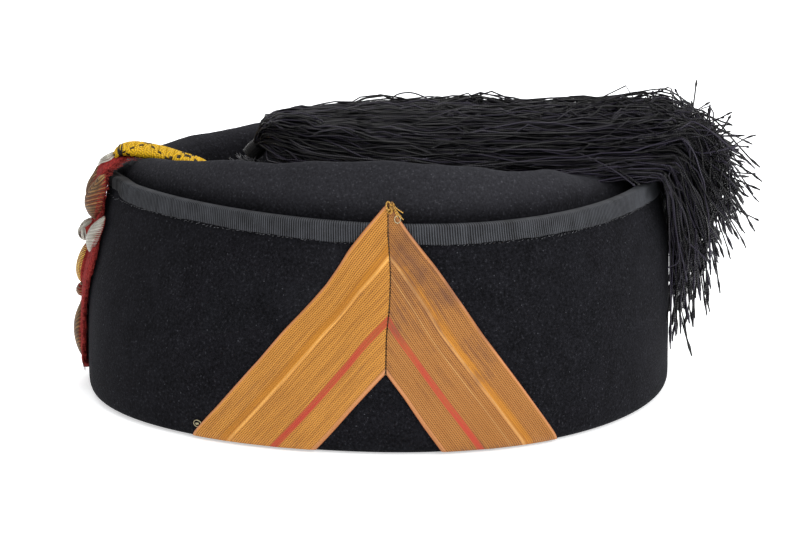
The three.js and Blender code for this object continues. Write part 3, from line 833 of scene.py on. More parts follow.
@dataclass(frozen=True)
class HatForm:
    """The plan and sections that every piece of the hat is set on, in mm."""

    cuff: tuple[CuffRow, ...] = (
        CuffRow(0, 100.6, 93.8, 0.7, 0.075, 0.85, 1.12),
        CuffRow(1.1, 102.0, 95.2, 0.7, 0.075, 0.85, 1.12),
        CuffRow(4, 102.9, 96.1, 0.7, 0.075, 0.85, 1.12),
        CuffRow(22, 102.9, 95.7, 0.7, 0.08, 0.88, 1.13),
        CuffRow(38, 102.3, 94.3, 0.9, 0.1, 0.97, 1.18),
        CuffRow(51, 100.7, 92.4, 2.1, 0.13, 1.09, 1.25),
        CuffRow(60, 99.2, 90.6, 2.4, 0.16, 1.19, 1.3),
        CuffRow(68, 97.3, 88.8, 2.0, 0.185, 1.28, 1.35),
        CuffRow(74.2, 96.1, 87.6, 1.7, 0.2, 1.34, 1.38),
    )
    roll: tuple[RollRow, ...] = (  # one row for each 30 degrees, from the back round by the wearer's right
        RollRow(78.4, 18, 8.5),
        RollRow(79.6, 17, 7),
        RollRow(81.2, 15, 5.4),
        RollRow(82.4, 13.5, 4.9),
        RollRow(81.2, 13, 4.9),
        RollRow(79.8, 12.5, 4.9),
        RollRow(78.6, 12.5, 4.9),
        RollRow(84.8, 12, 4.9),
        RollRow(90, 13, 4.9),
        RollRow(93.5, 13.5, 4.9),
        RollRow(89.2, 15, 5.6),
        RollRow(81, 19, 8.5),
    )
    right_egg_share: float = 0.35
    cuff_top: float = 74.2
    crown_leaves: float = 52.0  # the level from which the crown's wall leans in from the cuff
    tape_level: float = 38.0  # the level at which distances round the cuff are measured
    groove_bottom: float = 5.0
    dent_floor: float = 60.0
    felt: float = 2.4
    fold_gap: float = 0.8

    def cuff_at(self, name: str, level: Points) -> Points:
        """Reads one column of the cuff's table."""
        column = [getattr(row, name) for row in self.cuff]
        return read_curve(level, [row.height for row in self.cuff], column)

    def plan(self, angle: Points, height: Points, inset: Points = 0.0,
             level: Points | None = None) -> Points:
        """Finds places on the hat's plan.

        Args:
            angle: Bearings in radians.
            height: Heights of the places.
            inset: How far inside the cuff's outer face they lie.
            level: The level whose plan is used, if it isn't the height.

        Returns:
            The places.
        """
        at = height if level is None else level
        cos, sin = np.cos(angle), np.sin(angle)
        power = np.where(cos < 0, self.cuff_at("front", at), self.cuff_at("back", at))
        reach = np.where(sin < 0, -(np.abs(sin) ** power), sin)
        egg = self.cuff_at("egg", at) * np.where(sin < 0, 1, self.right_egg_share)
        x = self.cuff_at("shift", at) + (self.cuff_at("half_length", at) - inset) * cos
        y = (self.cuff_at("half_width", at) - inset) * reach * (1 + egg * cos)
        return np.stack(np.broadcast_arrays(x, y, np.asarray(height, float)), axis=-1)

    def roll_at(self, angle: Points, name: str) -> Points:
        """Reads one column of the roll's table, smooth all the way round."""
        column = np.array([getattr(row, name) for row in self.roll])
        turn = np.mod(angle, FULL_TURN) / FULL_TURN * len(column)
        at = np.floor(turn).astype(int)
        return between(*(column[(at + i) % len(column)] for i in (-1, 0, 1, 2)), turn - at)

    def crown_inset(self, angle: Points, height: Points) -> Points:
        """How far the crown's own wall lies inside the cuff's outer face."""
        clear = self.felt + self.fold_gap
        lean = smoothstep(height, self.crown_leaves, self.cuff_top)
        return clear + (self.roll_at(angle, "shoulder") - clear) * lean

    def even_bearings(self, count: int, level: float) -> Points:
        """Bearings that step evenly round the cuff at one level."""
        bearings = np.linspace(0, FULL_TURN, 7201)
        gone = lengths_along(self.plan(bearings, np.full(bearings.shape, level)))
        return np.interp(np.arange(count) / count * gone[-1], gone, bearings)

    def bearing_at(self, distance: Points, start: float) -> Points:
        """The bearing at a distance round the cuff from a starting bearing in radians."""
        bearings = start + np.linspace(-2, 2, 3001)
        gone = lengths_along(self.plan(bearings, np.full(bearings.shape, self.tape_level)))
        return np.interp(distance, gone - gone[len(gone) // 2], bearings)


@dataclass(frozen=True)
class FrontForm:
    """The line up the front of the hat that the badge and its backing follow."""

    hat: HatForm
    heights: tuple[float, ...] = (4, 60, 64.5, 68, 74.8, 76.8, 79, 80, 80.2)
    insets: tuple[float, ...] = (-0.45, -0.45, -1, -1.75, -2.1, -0.7, 3.4, 7.2, 10.5)

    def place(self, side: Points, run: Points, lift: Points = 0.0) -> Points:
        """Finds places on the front.

        Args:
            side: Distance towards the wearer's left.
            run: Distance up the front from the surface that the hat stands on.
            lift: Distance off the badge's seat.

        Returns:
            The places.
        """
        heights, insets = np.array(self.heights, float), np.array(self.insets, float)
        runs = heights[0] + lengths_along(np.stack([heights, insets], -1))
        side, run, lift = np.broadcast_arrays(*(np.asarray(v, float) for v in (side, run, lift)))
        height, inset = np.interp(run, runs, heights), np.interp(run, runs, insets)
        rise = np.interp(run + 2, runs, heights) - np.interp(run - 2, runs, heights)
        fall = np.interp(run + 2, runs, insets) - np.interp(run - 2, runs, insets)
        length = np.maximum(np.hypot(rise, fall), 1e-6)
        half = self.hat.cuff_at("half_width", height) - inset
        egg = self.hat.cuff_at("egg", height) * np.where(side > 0, 1, self.hat.right_egg_share)
        reach = np.clip(side / (half * (1 - egg)), -1, 1)
        power = 1 / self.hat.cuff_at("front", height)
        turn = np.arcsin(np.where(side > 0, np.abs(reach) ** power, reach))
        level = height + lift * fall / length
        return self.hat.plan(math.pi + turn, level, inset - lift * rise / length)


# Felt and ribbon


@dataclass
class FeltBody:
    """The crown, pushed in, and the cuff, turned up: one piece of felt folded at the rim."""

    hat: HatForm
    finish: WoolFelt = WoolFelt()
    steps: int = 144
    tie: tuple[float, float, float] = (-45, -2, 80.6)
    pleats: int = 9
    pleat_depth: float = 0.09
    stalk: tuple[tuple[float, float], ...] = (  # radius and height of the felt drawn up to the tie
        (2.6, 80.0), (3.6, 78.9), (5, 76.9), (5.8, 74.6), (6.5, 72), (7.5, 68.8), (9, 65.5), (11, 62.9),
        (13.5, 60.9))
    roll_outside: tuple[tuple[float, float], ...] = (  # shares of the way up to the ridge and in to it
        (0.2, 0.04), (0.4, 0.13), (0.6, 0.26), (0.75, 0.4), (0.87, 0.56), (0.95, 0.74), (0.99, 0.88))
    roll_inside: tuple[tuple[float, float], ...] = (  # share of the way down the dent, mm in from the ridge
        (0.015, 2), (0.06, 4), (0.15, 6.1), (0.28, 8), (0.45, 9.6), (0.62, 11), (0.78, 12.7), (0.9, 15),
        (0.97, 17.8), (1, 21))

    def _angles(self) -> Points:
        """The bearings round a ring."""
        return self.hat.even_bearings(self.steps, 60)

    def _crown(self) -> list[Points]:
        """The crown's upper skin, from the tie out over the dent and the roll and down the wall."""
        hat, angle = self.hat, self._angles()
        height, ridge, shoulder = (hat.roll_at(angle, name) for name in ("height", "ridge", "shoulder"))
        low = hat.cuff_top + 0.6
        rings = []
        for radius, level in self.stalk:
            deep = self.pleat_depth * smoothstep(radius, 3, 6) * (1 - smoothstep(radius, 9, 14))
            wide = radius * (1 + deep * np.sin(self.pleats * angle))
            x, y = self.tie[0] + wide * np.cos(angle), self.tie[1] + wide * np.sin(angle)
            rings.append(np.stack([x, y, np.full(self.steps, level)], -1))
        for drop, past in reversed(self.roll_inside):
            level = height + (hat.dent_floor - height) * drop
            rings.append(hat.plan(angle, level, ridge + past, hat.cuff_top))
        rings.append(hat.plan(angle, height, ridge, hat.cuff_top))
        for rise, inset in reversed(self.roll_outside):
            level = low + (height - low) * rise
            rings.append(hat.plan(angle, level, shoulder + (ridge - shoulder) * inset, hat.cuff_top))
        for level in (low, 71, 67, 63, 58, 50, 38, 20, 8, hat.groove_bottom):
            flat = np.full(self.steps, float(level))
            rings.append(hat.plan(angle, flat, hat.crown_inset(angle, flat)))
        return rings

    def _cuff(self) -> list[Points]:
        """The cuff from the groove's bottom up its inner face, over its edge and down to the rim."""
        top, felt = self.hat.cuff_top, self.hat.felt
        section = [(level, felt) for level in (5, 8, 20, 38, 52, 60, 67, top - 1.6, top - 0.8)]
        section += [(top - 0.2, felt - 0.3), (top, felt - 0.8), (top, 0.8), (top - 0.2, 0.25)]
        section += [(top - 0.7, 0)]
        face = (72.4, 70, 67, 64, 60, 56, 51, 45, 38, 30, 22, 14, 8, 4, 2.4, 1.2, 0.45)
        section += [(level, 0) for level in face]
        section += [(0.08, 0.7), (0, 1.6), (0, 2.8), (0.35, 3.9), (1.2, 4.8)]
        angle = self._angles()
        return [self.hat.plan(angle, np.full(self.steps, float(level)), inset) for level, inset in section]

    def _inside(self, rings: list[Points]) -> list[Points]:
        """The crown's underside: each ring moved through the felt, in reverse order."""
        other = []
        for i, points in enumerate(rings):
            before = rings[i - 1] if i else np.broadcast_to(np.array(self.tie), points.shape)
            along = rings[min(i + 1, len(rings) - 1)] - before
            across = np.roll(points, -1, axis=0) - np.roll(points, 1, axis=0)
            other.append(points - self.hat.felt * unit(np.cross(along, across)))
        return other[::-1]

    def _wear(self, piece: Object) -> None:
        """Makes the felt a little uneven, most of all on the soft roll and the dent."""
        places = vertex_places(piece)
        normals = read_all(piece.data.vertex_normals, "vector", np.float32, 3)
        height = places[:, 2]
        roll = smoothstep(height, 75.5, 82)
        cuff = smoothstep(height, 2, 14) * (1 - smoothstep(height, 58, 67))
        amount = 0.16 * cuff * waves(places, 46, 3)
        amount = amount + roll * (0.45 * waves(places, 24, 5) + 0.12 * waves(places, 7, 6))
        places += normals * amount[:, None]
        places[:, 2] = np.maximum(places[:, 2] - places[:, 2].min(), 0)
        place_vertices(piece, places)
        # the shade rises over the crown's top, a dusting and painted top light together, plus random patches of
        # dusting
        set_shade(piece, smoothstep(height, 74, 84) + 0.25 * smoothstep(waves(places, 60, 7), 0.2, 1.6))

    def build(self) -> None:
        """Lofts the felt and rounds it."""
        crown = self._crown()
        rings = crown + self._cuff() + self._inside(crown)
        loft = LoopLoft("felt_hat", rings[0])
        for ring in rings[1:]:
            loft.extrude_to(ring)
        piece = loft.finish()
        apply_modifier(piece, "SUBSURF", levels=1, render_levels=1)
        self._wear(piece)
        smooth_over(piece)
        settle(piece, self.finish, "felt", "felt_body")


@dataclass
class RibbonBinding:
    """The ribbed ribbon folded over the cuff's edge, with its join and its stitches."""

    hat: HatForm
    finish: Grosgrain = Grosgrain()
    ribs: int = 690
    steps_per_rib: int = 4
    relief: float = 0.28
    join_starts: tuple[float, float] = (184.0, 190.0)  # bearings in degrees over which the join rumples
    join_fades: tuple[float, float] = (198.0, 207.0)  # and over which it is smooth again
    mean_radius: float = 93.0
    fold: float = 75.3  # above this height the ribs are flatter
    inner_leg: float = 2.5  # further in than this the join isn't rumpled
    lower_edge: float = 68.9
    stitches: int = 330
    stitch_turn: float = 0.0042  # half a stitch's length in radians
    section: tuple[tuple[float, float, float], ...] = (  # inset, height and share of the ribs' relief
        (-0.62, 69.35, 0), (-1.0, 69.4, 0.5), (-1.14, 69.8, 1), (-1.18, 71, 1), (-1.2, 72.4, 1),
        (-1.16, 73.7, 1), (-1.0, 74.6, 1), (-0.6, 75.2, 1), (0.1, 75.42, 1), (1.2, 75.5, 1), (2.2, 75.4, 1),
        (2.85, 75.05, 1), (3.15, 74.3, 1), (3.2, 72.5, 1), (3.2, 70.2, 0.4), (2.8, 70, 0), (2.78, 74.4, 0),
        (1.2, 74.72, 0), (-0.42, 74.4, 0), (-0.48, 71, 0))

    def _band(self) -> None:
        """The ribbon itself, all the way round."""
        steps = self.ribs * self.steps_per_rib
        angle = self.hat.even_bearings(steps, 72)
        rib = (1 + np.cos(np.arange(steps) / self.steps_per_rib * FULL_TURN)) / 2
        around = np.stack([np.cos(angle), np.sin(angle)], -1) * self.mean_radius
        sag = 0.35 * waves(around, 30, 21) + 0.12 * waves(around, 6, 22)
        degrees = np.degrees(angle) % 360
        join = smoothstep(degrees, *self.join_starts) * (1 - smoothstep(degrees, *self.join_fades))
        folds = join * (0.55 + 0.55 * waves(around, 4.2, 23) + 0.3 * waves(around, 2.0, 24))
        rib = rib * (1 - 0.8 * join)

        def ring(row: tuple[float, float, float]) -> Points:
            inset, height, share = row
            level = height + sag * (1 - smoothstep(height, 68, 75)) + join * (0.9 + 0.28 * (75.4 - height))
            ribbed = self.relief * rib * share * (1 if height < self.fold else 0.6)
            rumpled = folds * (1 if inset < self.inner_leg else 0)
            return self.hat.plan(angle, level, inset - (ribbed + rumpled))

        loft = LoopLoft("ribbon_binding_band", ring(self.section[0]))
        for row in self.section[1:]:
            loft.extrude_to(ring(row))
        piece = loft.finish(round_again=True)
        random = np.random.default_rng(8).normal(0, 0.08, self.ribs)
        step = loft.labels("step")
        share = np.array([row[2] for row in self.section])[loft.labels("level")]
        # painted rib light and shade: the tops of the ribs painted light and the hollows painted dark over the real
        # relief, with a random tone for each rib; the rows without relief, the lower edge and the ribbon's inside,
        # take the dark colour
        lit_crest = 0.03 + 0.97 * rib[step] ** 2.2 * share
        set_shade(piece, lit_crest + random[step // self.steps_per_rib] * rib[step])
        smooth_over(piece)
        settle(piece, self.finish, "ribbon", "ribbon_binding")

    def _stitches(self) -> None:
        """The dotted line of stitches under the ribbon's lower edge."""
        count = self.stitches
        rng = np.random.default_rng(11)
        angle = self.hat.even_bearings(count, 69) + rng.uniform(-0.005, 0.005, count)
        turn = self.stitch_turn * (0.7 + 0.6 * rng.random(count))
        low = self.lower_edge + rng.normal(0, 0.16, count)
        share = np.linspace(-1, 1, 5)
        bearings = angle[:, None] + turn[:, None] * share
        heights = low[:, None] + rng.normal(0.1, 0.12, count)[:, None] * share
        inset = -0.1 - 0.22 * (1 - share**2)
        threads = Threads(sides=5)
        threads.lay(self.hat.plan(bearings, heights, inset), 0.16, rng.random(count))
        settle(threads.join("ribbon_stitches"), DARK_THREAD, "ribbon")

    def build(self) -> None:
        """Makes the ribbon and its stitches."""
        self._band()
        self._stitches()


# The chevron


class LaceArm(NamedTuple):
    """One arm of the chevron: its two edges as distance round the cuff from the mitre, and height."""

    name: str
    outer: tuple[tuple[float, float], ...]
    inner: tuple[tuple[float, float], ...]
    finish: MetalLace


@dataclass
class RankChevron:
    """Two arms of gold lace mitred to a point over the ribbon on the wearer's left."""

    hat: HatForm
    mitre: float = math.radians(272)
    seam: float = -1.6  # the seam's distance round the cuff from the mitre's bearing
    stitch_pitch: float = 1.3
    thickness: float = 0.85
    ribs: int = 52
    steps_per_rib: int = 4
    rows: int = 72
    arms: tuple[LaceArm, ...] = (
        LaceArm(
            "front",
            ((-1.95, 83.0), (-15.1, 67.4), (-23.2, 55.4), (-32.6, 43.8), (-44.0, 30.0), (-56.3, 16.4),
             (-70.9, 0.7)),
            ((-1.75, 27.2), (-7.4, 20.9), (-13.3, 14.0), (-18.9, 7.3), (-24.7, 0.7)),
            MetalLace("gilt_lace"),
        ),
        LaceArm(
            "back",
            ((-1.45, 83.0), (5.2, 73.8), (12.2, 64.3), (20.2, 52.9), (31.9, 37.2), (43.9, 21.2),
             (59.0, 0.7)),
            ((-1.25, 27.2), (4.4, 19.4), (10.6, 9.8), (16.9, 0.7)),
            # the back arm's darker gold and heavier blotching: tarnish, and painted shade over the whole arm
            MetalLace("tarnished_and_shaded_gilt_lace", gold="#a46d31", pale="#bd8b4e", second="#b58348",
                      tarnish="#64402f", soil_and_shade=0.14),
        ),
    )

    def stand_off(self, height: Points) -> Points:
        """How far the lace's back lies off the cuff: it climbs over the ribbon."""
        return 0.25 + 1.4 * smoothstep(height, 60, 68)

    def place(self, distance: Points, height: Points, lift: Points = 0.0) -> Points:
        """Finds places over the cuff.

        Args:
            distance: Distance round the cuff from the mitre.
            height: Height.
            lift: Distance off the lace's back.

        Returns:
            The places.
        """
        bearing = self.hat.bearing_at(distance, self.mitre)
        return self.hat.plan(bearing, height, -(self.stand_off(height) + lift))

    @staticmethod
    def _along(edge: tuple[tuple[float, float], ...], share: Points) -> Points:
        """Reads an edge at shares of its length."""
        line = np.array(edge)
        gone = lengths_along(line)
        return np.stack([np.interp(share * gone[-1], gone, line[:, i]) for i in (0, 1)], -1)

    def _arm(self, arm: LaceArm) -> None:
        """Lays one arm's tape, rib by rib, and gives it thickness."""
        shares = np.linspace(0, 1, self.rows), np.linspace(0, 1, self.ribs * self.steps_per_rib + 1)
        along, across = np.meshgrid(*shares, indexing="ij")
        inward = across[..., None]
        flat = self._along(arm.outer, along) * (1 - inward) + self._along(arm.inner, along) * inward
        rib = (1 - np.cos(across * self.ribs * FULL_TURN)) / 2
        edge = np.minimum(across, 1 - across) * LACE_WIDTH
        swell = 0.14 * waves(flat, 26, 31) + 0.07 * waves(flat, 9, 32)
        lift = 0.13 * rib + swell - 0.25 * (1 - smoothstep(edge, 0, 0.9))
        way = np.array(arm.outer[-1]) - np.array(arm.outer[0])
        way /= np.linalg.norm(way)
        uv = np.stack([flat @ way, across], -1)
        points = self.place(flat[..., 0], flat[..., 1], lift + self.thickness)
        if arm.name == "front":
            points, uv = points[:, ::-1], uv[:, ::-1]
        piece = cloth_grid(f"lace_arm_{arm.name}", points, uv)
        places = vertex_places(piece)
        worn = 0.06 * waves(places, 26, 33) - 0.06
        # the back arm darkens towards its upper, outer part: tarnish and painted shade together
        if arm.name == "back":
            outer = 1 - 0.7 * smoothstep(across.ravel(), 0.3, 0.5)
            worn = worn + 0.26 * smoothstep(places[:, 2], 22, 58) * outer
        set_shade(piece, worn)
        apply_modifier(piece, "SOLIDIFY", thickness=self.thickness * MM, offset=-1)
        smooth_over(piece, 50)
        settle(piece, arm.finish, "lace", *(("rank_chevron",) if arm.name == "front" else ()))

    def _seam(self) -> None:
        """The mitre's slanting stitches, and the thread that runs down under them."""
        rng = np.random.default_rng(41)
        heights = np.arange(27.5, 81.5, self.stitch_pitch)
        count = len(heights)
        share = np.linspace(-1, 1, 5)
        distance = (0.34 + 0.16 * rng.random(count))[:, None] * share + self.seam
        level = heights[:, None] + 0.45 * share * np.where(np.arange(count) % 2, 1, -1)[:, None]
        lift = self.thickness - 0.2 + 0.22 * (1 - share**2)
        seam = Threads(sides=5)
        seam.lay(self.place(distance, level, lift), 0.11, rng.random(count))
        line = np.linspace(27.3, 82.5, 120)[None]
        seam.lay(self.place(0.12 * np.sin(line * 2.2) + self.seam, line, self.thickness - 0.08), 0.1, 0.3)
        settle(seam.join("mitre_stitches"), SEAM_THREAD, "lace")

    def _loose_ends(self) -> None:
        """The gold thread knotted over the point, a wire ring beside it and one by the foot."""
        rng = np.random.default_rng(43)
        turn = np.linspace(0, FULL_TURN, 40)
        knot = Threads(sides=6)
        for _ in range(7):  # loops
            wide, tall, lean = rng.uniform(0.4, 0.8), rng.uniform(0.8, 1.6), rng.uniform(-0.9, 0.2)
            middle = (-0.7 + rng.normal(0, 0.35), 82.0 + rng.normal(0, 0.8))
            u, v = wide * np.cos(turn), tall * np.sin(turn)
            distance = middle[0] + u * math.cos(lean) - v * math.sin(lean)
            height = middle[1] + u * math.sin(lean) + v * math.cos(lean)
            lift = 1.1 + 0.45 * np.sin(2 * turn + rng.uniform(0, 6))
            knot.lay(self.place(distance, height, lift)[None], 0.27, rng.random(1))
        fall = np.linspace(0, 1, 16)
        for _ in range(9):  # ends
            distance = -0.4 + 2.2 * fall + rng.normal(0.5, 0.5) * fall**2
            height = 83 - (2.5 + 3 * rng.random()) * fall
            lift = 1.2 + 0.5 * np.sin(fall * 5 + rng.uniform(0, 6))
            knot.lay(self.place(distance, height, lift)[None], 0.17, rng.random(1))
        settle(knot.join("chevron_point_knot"), GOLD_THREAD, "lace")
        rings = Threads(sides=6)
        circle = np.linspace(0, FULL_TURN * 0.97, 40)
        by_point = self.place(1.5 + 1.0 * np.cos(circle), 77.9 + 1.2 * np.sin(circle), 1.6)
        rings.lay(by_point[None], 0.14, 0.9)
        by_foot = self.place(-67.9 + 1.5 * np.cos(circle - 0.6), 5.4 + 1.1 * np.sin(circle - 0.6), 0.3)
        rings.lay(by_foot[None], 0.16, 0.6)
        bead = np.linspace(0, 1, 6)
        rings.lay(self.place(-68.3 + 1.1 * bead, 5.3 + 0.1 * bead, 0.45)[None], 0.4, 0.5)
        settle(rings.join("chevron_wire_rings"), PALE_WIRE, "lace")

    def build(self) -> None:
        """Makes both arms, the seam between them and the loose ends."""
        for arm in self.arms:
            self._arm(arm)
        self._seam()
        self._loose_ends()


# The badge


class Laying(Enum):
    """How the threads of a padded motif are laid."""

    LEAF = "slanting from the middle to both edges"
    SATIN = "straight over, edge to edge"
    KNOT = "one cord looped over and under itself"
    COIL = "rings one inside another"


class Motif(NamedTuple):
    """One padded piece of the badge: its middle, size and lean in mm and degrees."""

    node: str
    side: float
    run: float
    long: float
    wide: float
    lean: float
    tall: float
    taper: float
    laying: Laying
    finish: CordedThread
    slot: str


@dataclass
class Badge:
    """A padded embroidery of leaves, knots and a boss on frayed red felt. Its design is a plain one."""

    front: FrontForm
    seat: float = 1.3
    motifs: tuple[Motif, ...] = (
        Motif("badge_crest", 0, 79.6, 8.6, 11, 0, 2.2, 0.5, Laying.COIL, SILVER_PURL, "silver"),
        Motif("badge_plume", 7.6, 67.4, 18, 9, 24, 5.2, 0.7, Laying.LEAF, GILT_PURL, "purl"),
        Motif("badge_spray", 12.4, 55.3, 16, 7.2, 27, 3.6, 0.8, Laying.LEAF, SILVER_PURL, "silver"),
        Motif("badge_knot", 0, 54.4, 7.6, 14, 0, 5.2, 0.5, Laying.KNOT, SILVER_PURL, "silver"),
        Motif("badge_boss", 0, 42.8, 14.6, 15.5, 0, 4, 0.35, Laying.SATIN, YELLOW_FLOSS, "satin"),
        Motif("badge_tie", 0, 32.9, 4, 13, 0, 3.1, 0.35, Laying.SATIN, GILT_PURL, "purl"),
        Motif("badge_leaf", 5.6, 19.6, 22, 8.6, 12, 3.4, 0.8, Laying.LEAF, GILT_PURL, "purl"),
    )
    wire_radius: float = 0.36
    floss_radius: float = 0.26
    fray_count: int = 1500
    fray_count_above: int = 500  # how many of them lie on the narrow upper part
    outline: tuple[tuple[float, float], ...] = (  # run up the front, and half the backing's width there
        (5.5, 2.5), (8, 7.5), (12, 11.5), (19, 14.5), (27, 15), (34, 16), (42, 17.5), (47, 17), (51, 15),
        (55, 12.6), (59, 11), (64.5, 10.2), (68, 10), (73, 9.4), (78, 8.2), (82, 6.5), (85, 3))

    def _half_width(self, run: Points) -> Points:
        """Half the backing's width up the front."""
        return read_curve(run, *zip(*self.outline))

    def _backing(self) -> None:
        """The red felt under the embroidery, with a frayed edge."""
        run = np.linspace(self.outline[0][0], self.outline[-1][0], 110)
        share = np.linspace(1, -1, 61)
        side = self._half_width(run)[:, None] * share
        jag = np.random.default_rng(51).normal(0, 0.4, side.shape) * smoothstep(np.abs(share), 0.95, 1)
        runs = run[:, None] + 0 * side
        droop = 0.75 * smoothstep(np.abs(share), 0.86, 1)
        lift = 1.1 + 0.12 * waves(np.stack([side, runs], -1), 4, 52) - droop
        piece = cloth_grid("badge_backing_felt", self.front.place(side + jag, runs, lift))
        thicken(piece, 1.0, 60)
        settle(piece, RedFelt(), "backing", "badge_backing")

    def _dome(self, motif: Motif, across: Points, along: Points, lift: Points) -> Points:
        """Finds places over a motif's padding.

        Args:
            motif: The padded motif.
            across: From -1 to 1 over its width.
            along: From 0 to 1 up its length.
            lift: Distance off the padding.

        Returns:
            The places.
        """
        full = np.maximum(np.sin(math.pi * np.clip(along, 0, 1)) ** motif.taper, 0.12)
        height = (motif.tall - 0.4) * np.sqrt(np.clip(1 - across**2, 0, 1)) * full
        u, v = across * motif.wide * full / 2, (along - 0.5) * motif.long
        lean = math.radians(motif.lean)
        side = motif.side + u * math.cos(lean) + v * math.sin(lean)
        run = motif.run + v * math.cos(lean) - u * math.sin(lean)
        return self.front.place(side, run, self.seat + height + lift)

    def _lines(self, motif: Motif, thread: float) -> tuple[Points, Points]:
        """Plans a motif's threads.

        Args:
            motif: The padded motif.
            thread: A thread's radius.

        Returns:
            The threads' lines over the padding as across and along, as threads x places x 2, and the
            lift of each place.
        """
        if motif.laying is Laying.LEAF:
            starts = np.arange(-0.12, 0.93, 2.05 * thread / motif.long)
            share = np.linspace(0.02, 1, 9)
            along = starts[:, None] + 0.2 * share
            lines = np.concatenate([np.stack([way * share + 0 * along, along], -1) for way in (-1, 1)])
            return np.clip(lines, (-1, 0.01), (1, 0.99)), np.zeros(lines.shape[:2])
        if motif.laying is Laying.SATIN:
            rows = np.arange(0.03, 0.98, 2.05 * thread / motif.long)
            share = np.linspace(-1, 1, 15)
            lines = np.stack([share + 0 * rows[:, None], rows[:, None] + 0 * share], -1)
            return lines, np.zeros(lines.shape[:2])
        turn = np.linspace(0, FULL_TURN, 140)
        if motif.laying is Laying.KNOT:
            line = np.stack([0.86 * np.sin(3 * turn + 0.4), 0.5 + 0.42 * np.sin(4 * turn)], -1)
            strands = [line, line * (0.9, 1) + (0.0, 0.045), line * (0.95, 0.92) + (0.03, 0.04)]
            lifts = 0.55 * (1 + np.sin(7 * turn + 0.6))
            return np.stack(strands), np.stack([lifts] * len(strands))
        sizes = (0.22, 0.42, 0.62, 0.82)
        lines = [np.stack([size * np.cos(turn), 0.5 + 0.46 * size * np.sin(turn)], -1) for size in sizes]
        return np.stack(lines), np.full((len(sizes), len(turn)), 0.15)

    def _motif(self, motif: Motif, name: str) -> None:
        """Pads one motif and lays its threads."""
        thread = self.floss_radius if motif.finish is YELLOW_FLOSS else self.wire_radius
        across, along = np.meshgrid(np.linspace(1, -1, 21), np.linspace(0, 1, 33))
        lines, lifts = self._lines(motif, thread)
        rng = np.random.default_rng(len(name) + int(motif.run))
        count = len(lines)
        shade = np.clip(rng.normal(0.72, 0.12, count), 0, 1)
        if motif.laying is Laying.LEAF:
            shade[np.arange(count) % 2 == 0] = 0.12 if motif.finish is GILT_PURL else 0.45
        threads = Threads(sides=6)
        places = self._dome(motif, lines[..., 0], lines[..., 1], lifts + thread * 0.6)
        threads.lay(places, thread, shade)
        piece = threads.join(f"{name}_threads")
        settle(piece, motif.finish, motif.slot, name)
        pad = cloth_grid(f"{name}_padding", self._dome(motif, across, along, 0.0))
        thicken(pad, 0.3)
        settle(pad, RedFelt(), "backing")

    def _edging(self) -> None:
        """Frayed wool all along the red felt's edge."""
        rng = np.random.default_rng(55)
        count, above = self.fray_count, self.fray_count_above
        run = np.concatenate([rng.uniform(7, 86, count - above), rng.uniform(60, 86, above)])
        way = rng.choice((-1.0, 1.0), count)
        long = rng.uniform(0.8, 3.4, count) * (1 + 0.8 * smoothstep(run, 58, 75))
        drift = rng.normal(0, 1.6, count)
        share = np.linspace(0, 1, 7)
        inside = rng.uniform(0.4, 2.4, count)
        side = (way * (self._half_width(run) - inside))[:, None] + (way * long)[:, None] * share
        runs = run[:, None] + drift[:, None] * share**1.5 + 0.25 * np.sin(share * 9 + drift[:, None])
        lift = 0.75 + rng.uniform(0.1, 1.0, count)[:, None] * np.sin(share * math.pi * 0.8)
        fray = Threads(sides=4)
        fray.lay(self.front.place(side, runs, lift), 0.15 * (1.1 - 0.6 * share), rng.random(count))
        settle(fray.join("badge_frayed_edge"), RED_FELT_FIBRE, "backing")

    def build(self) -> None:
        """Makes the backing, the padded motifs and the frayed edge."""
        self._backing()
        for motif in self.motifs:
            if motif.side == 0:
                self._motif(motif, motif.node)
            else:
                self._motif(motif, f"{motif.node}_left")
                self._motif(motif._replace(side=-motif.side, lean=-motif.lean), f"{motif.node}_right")
        self._edging()


# Braid and tassel


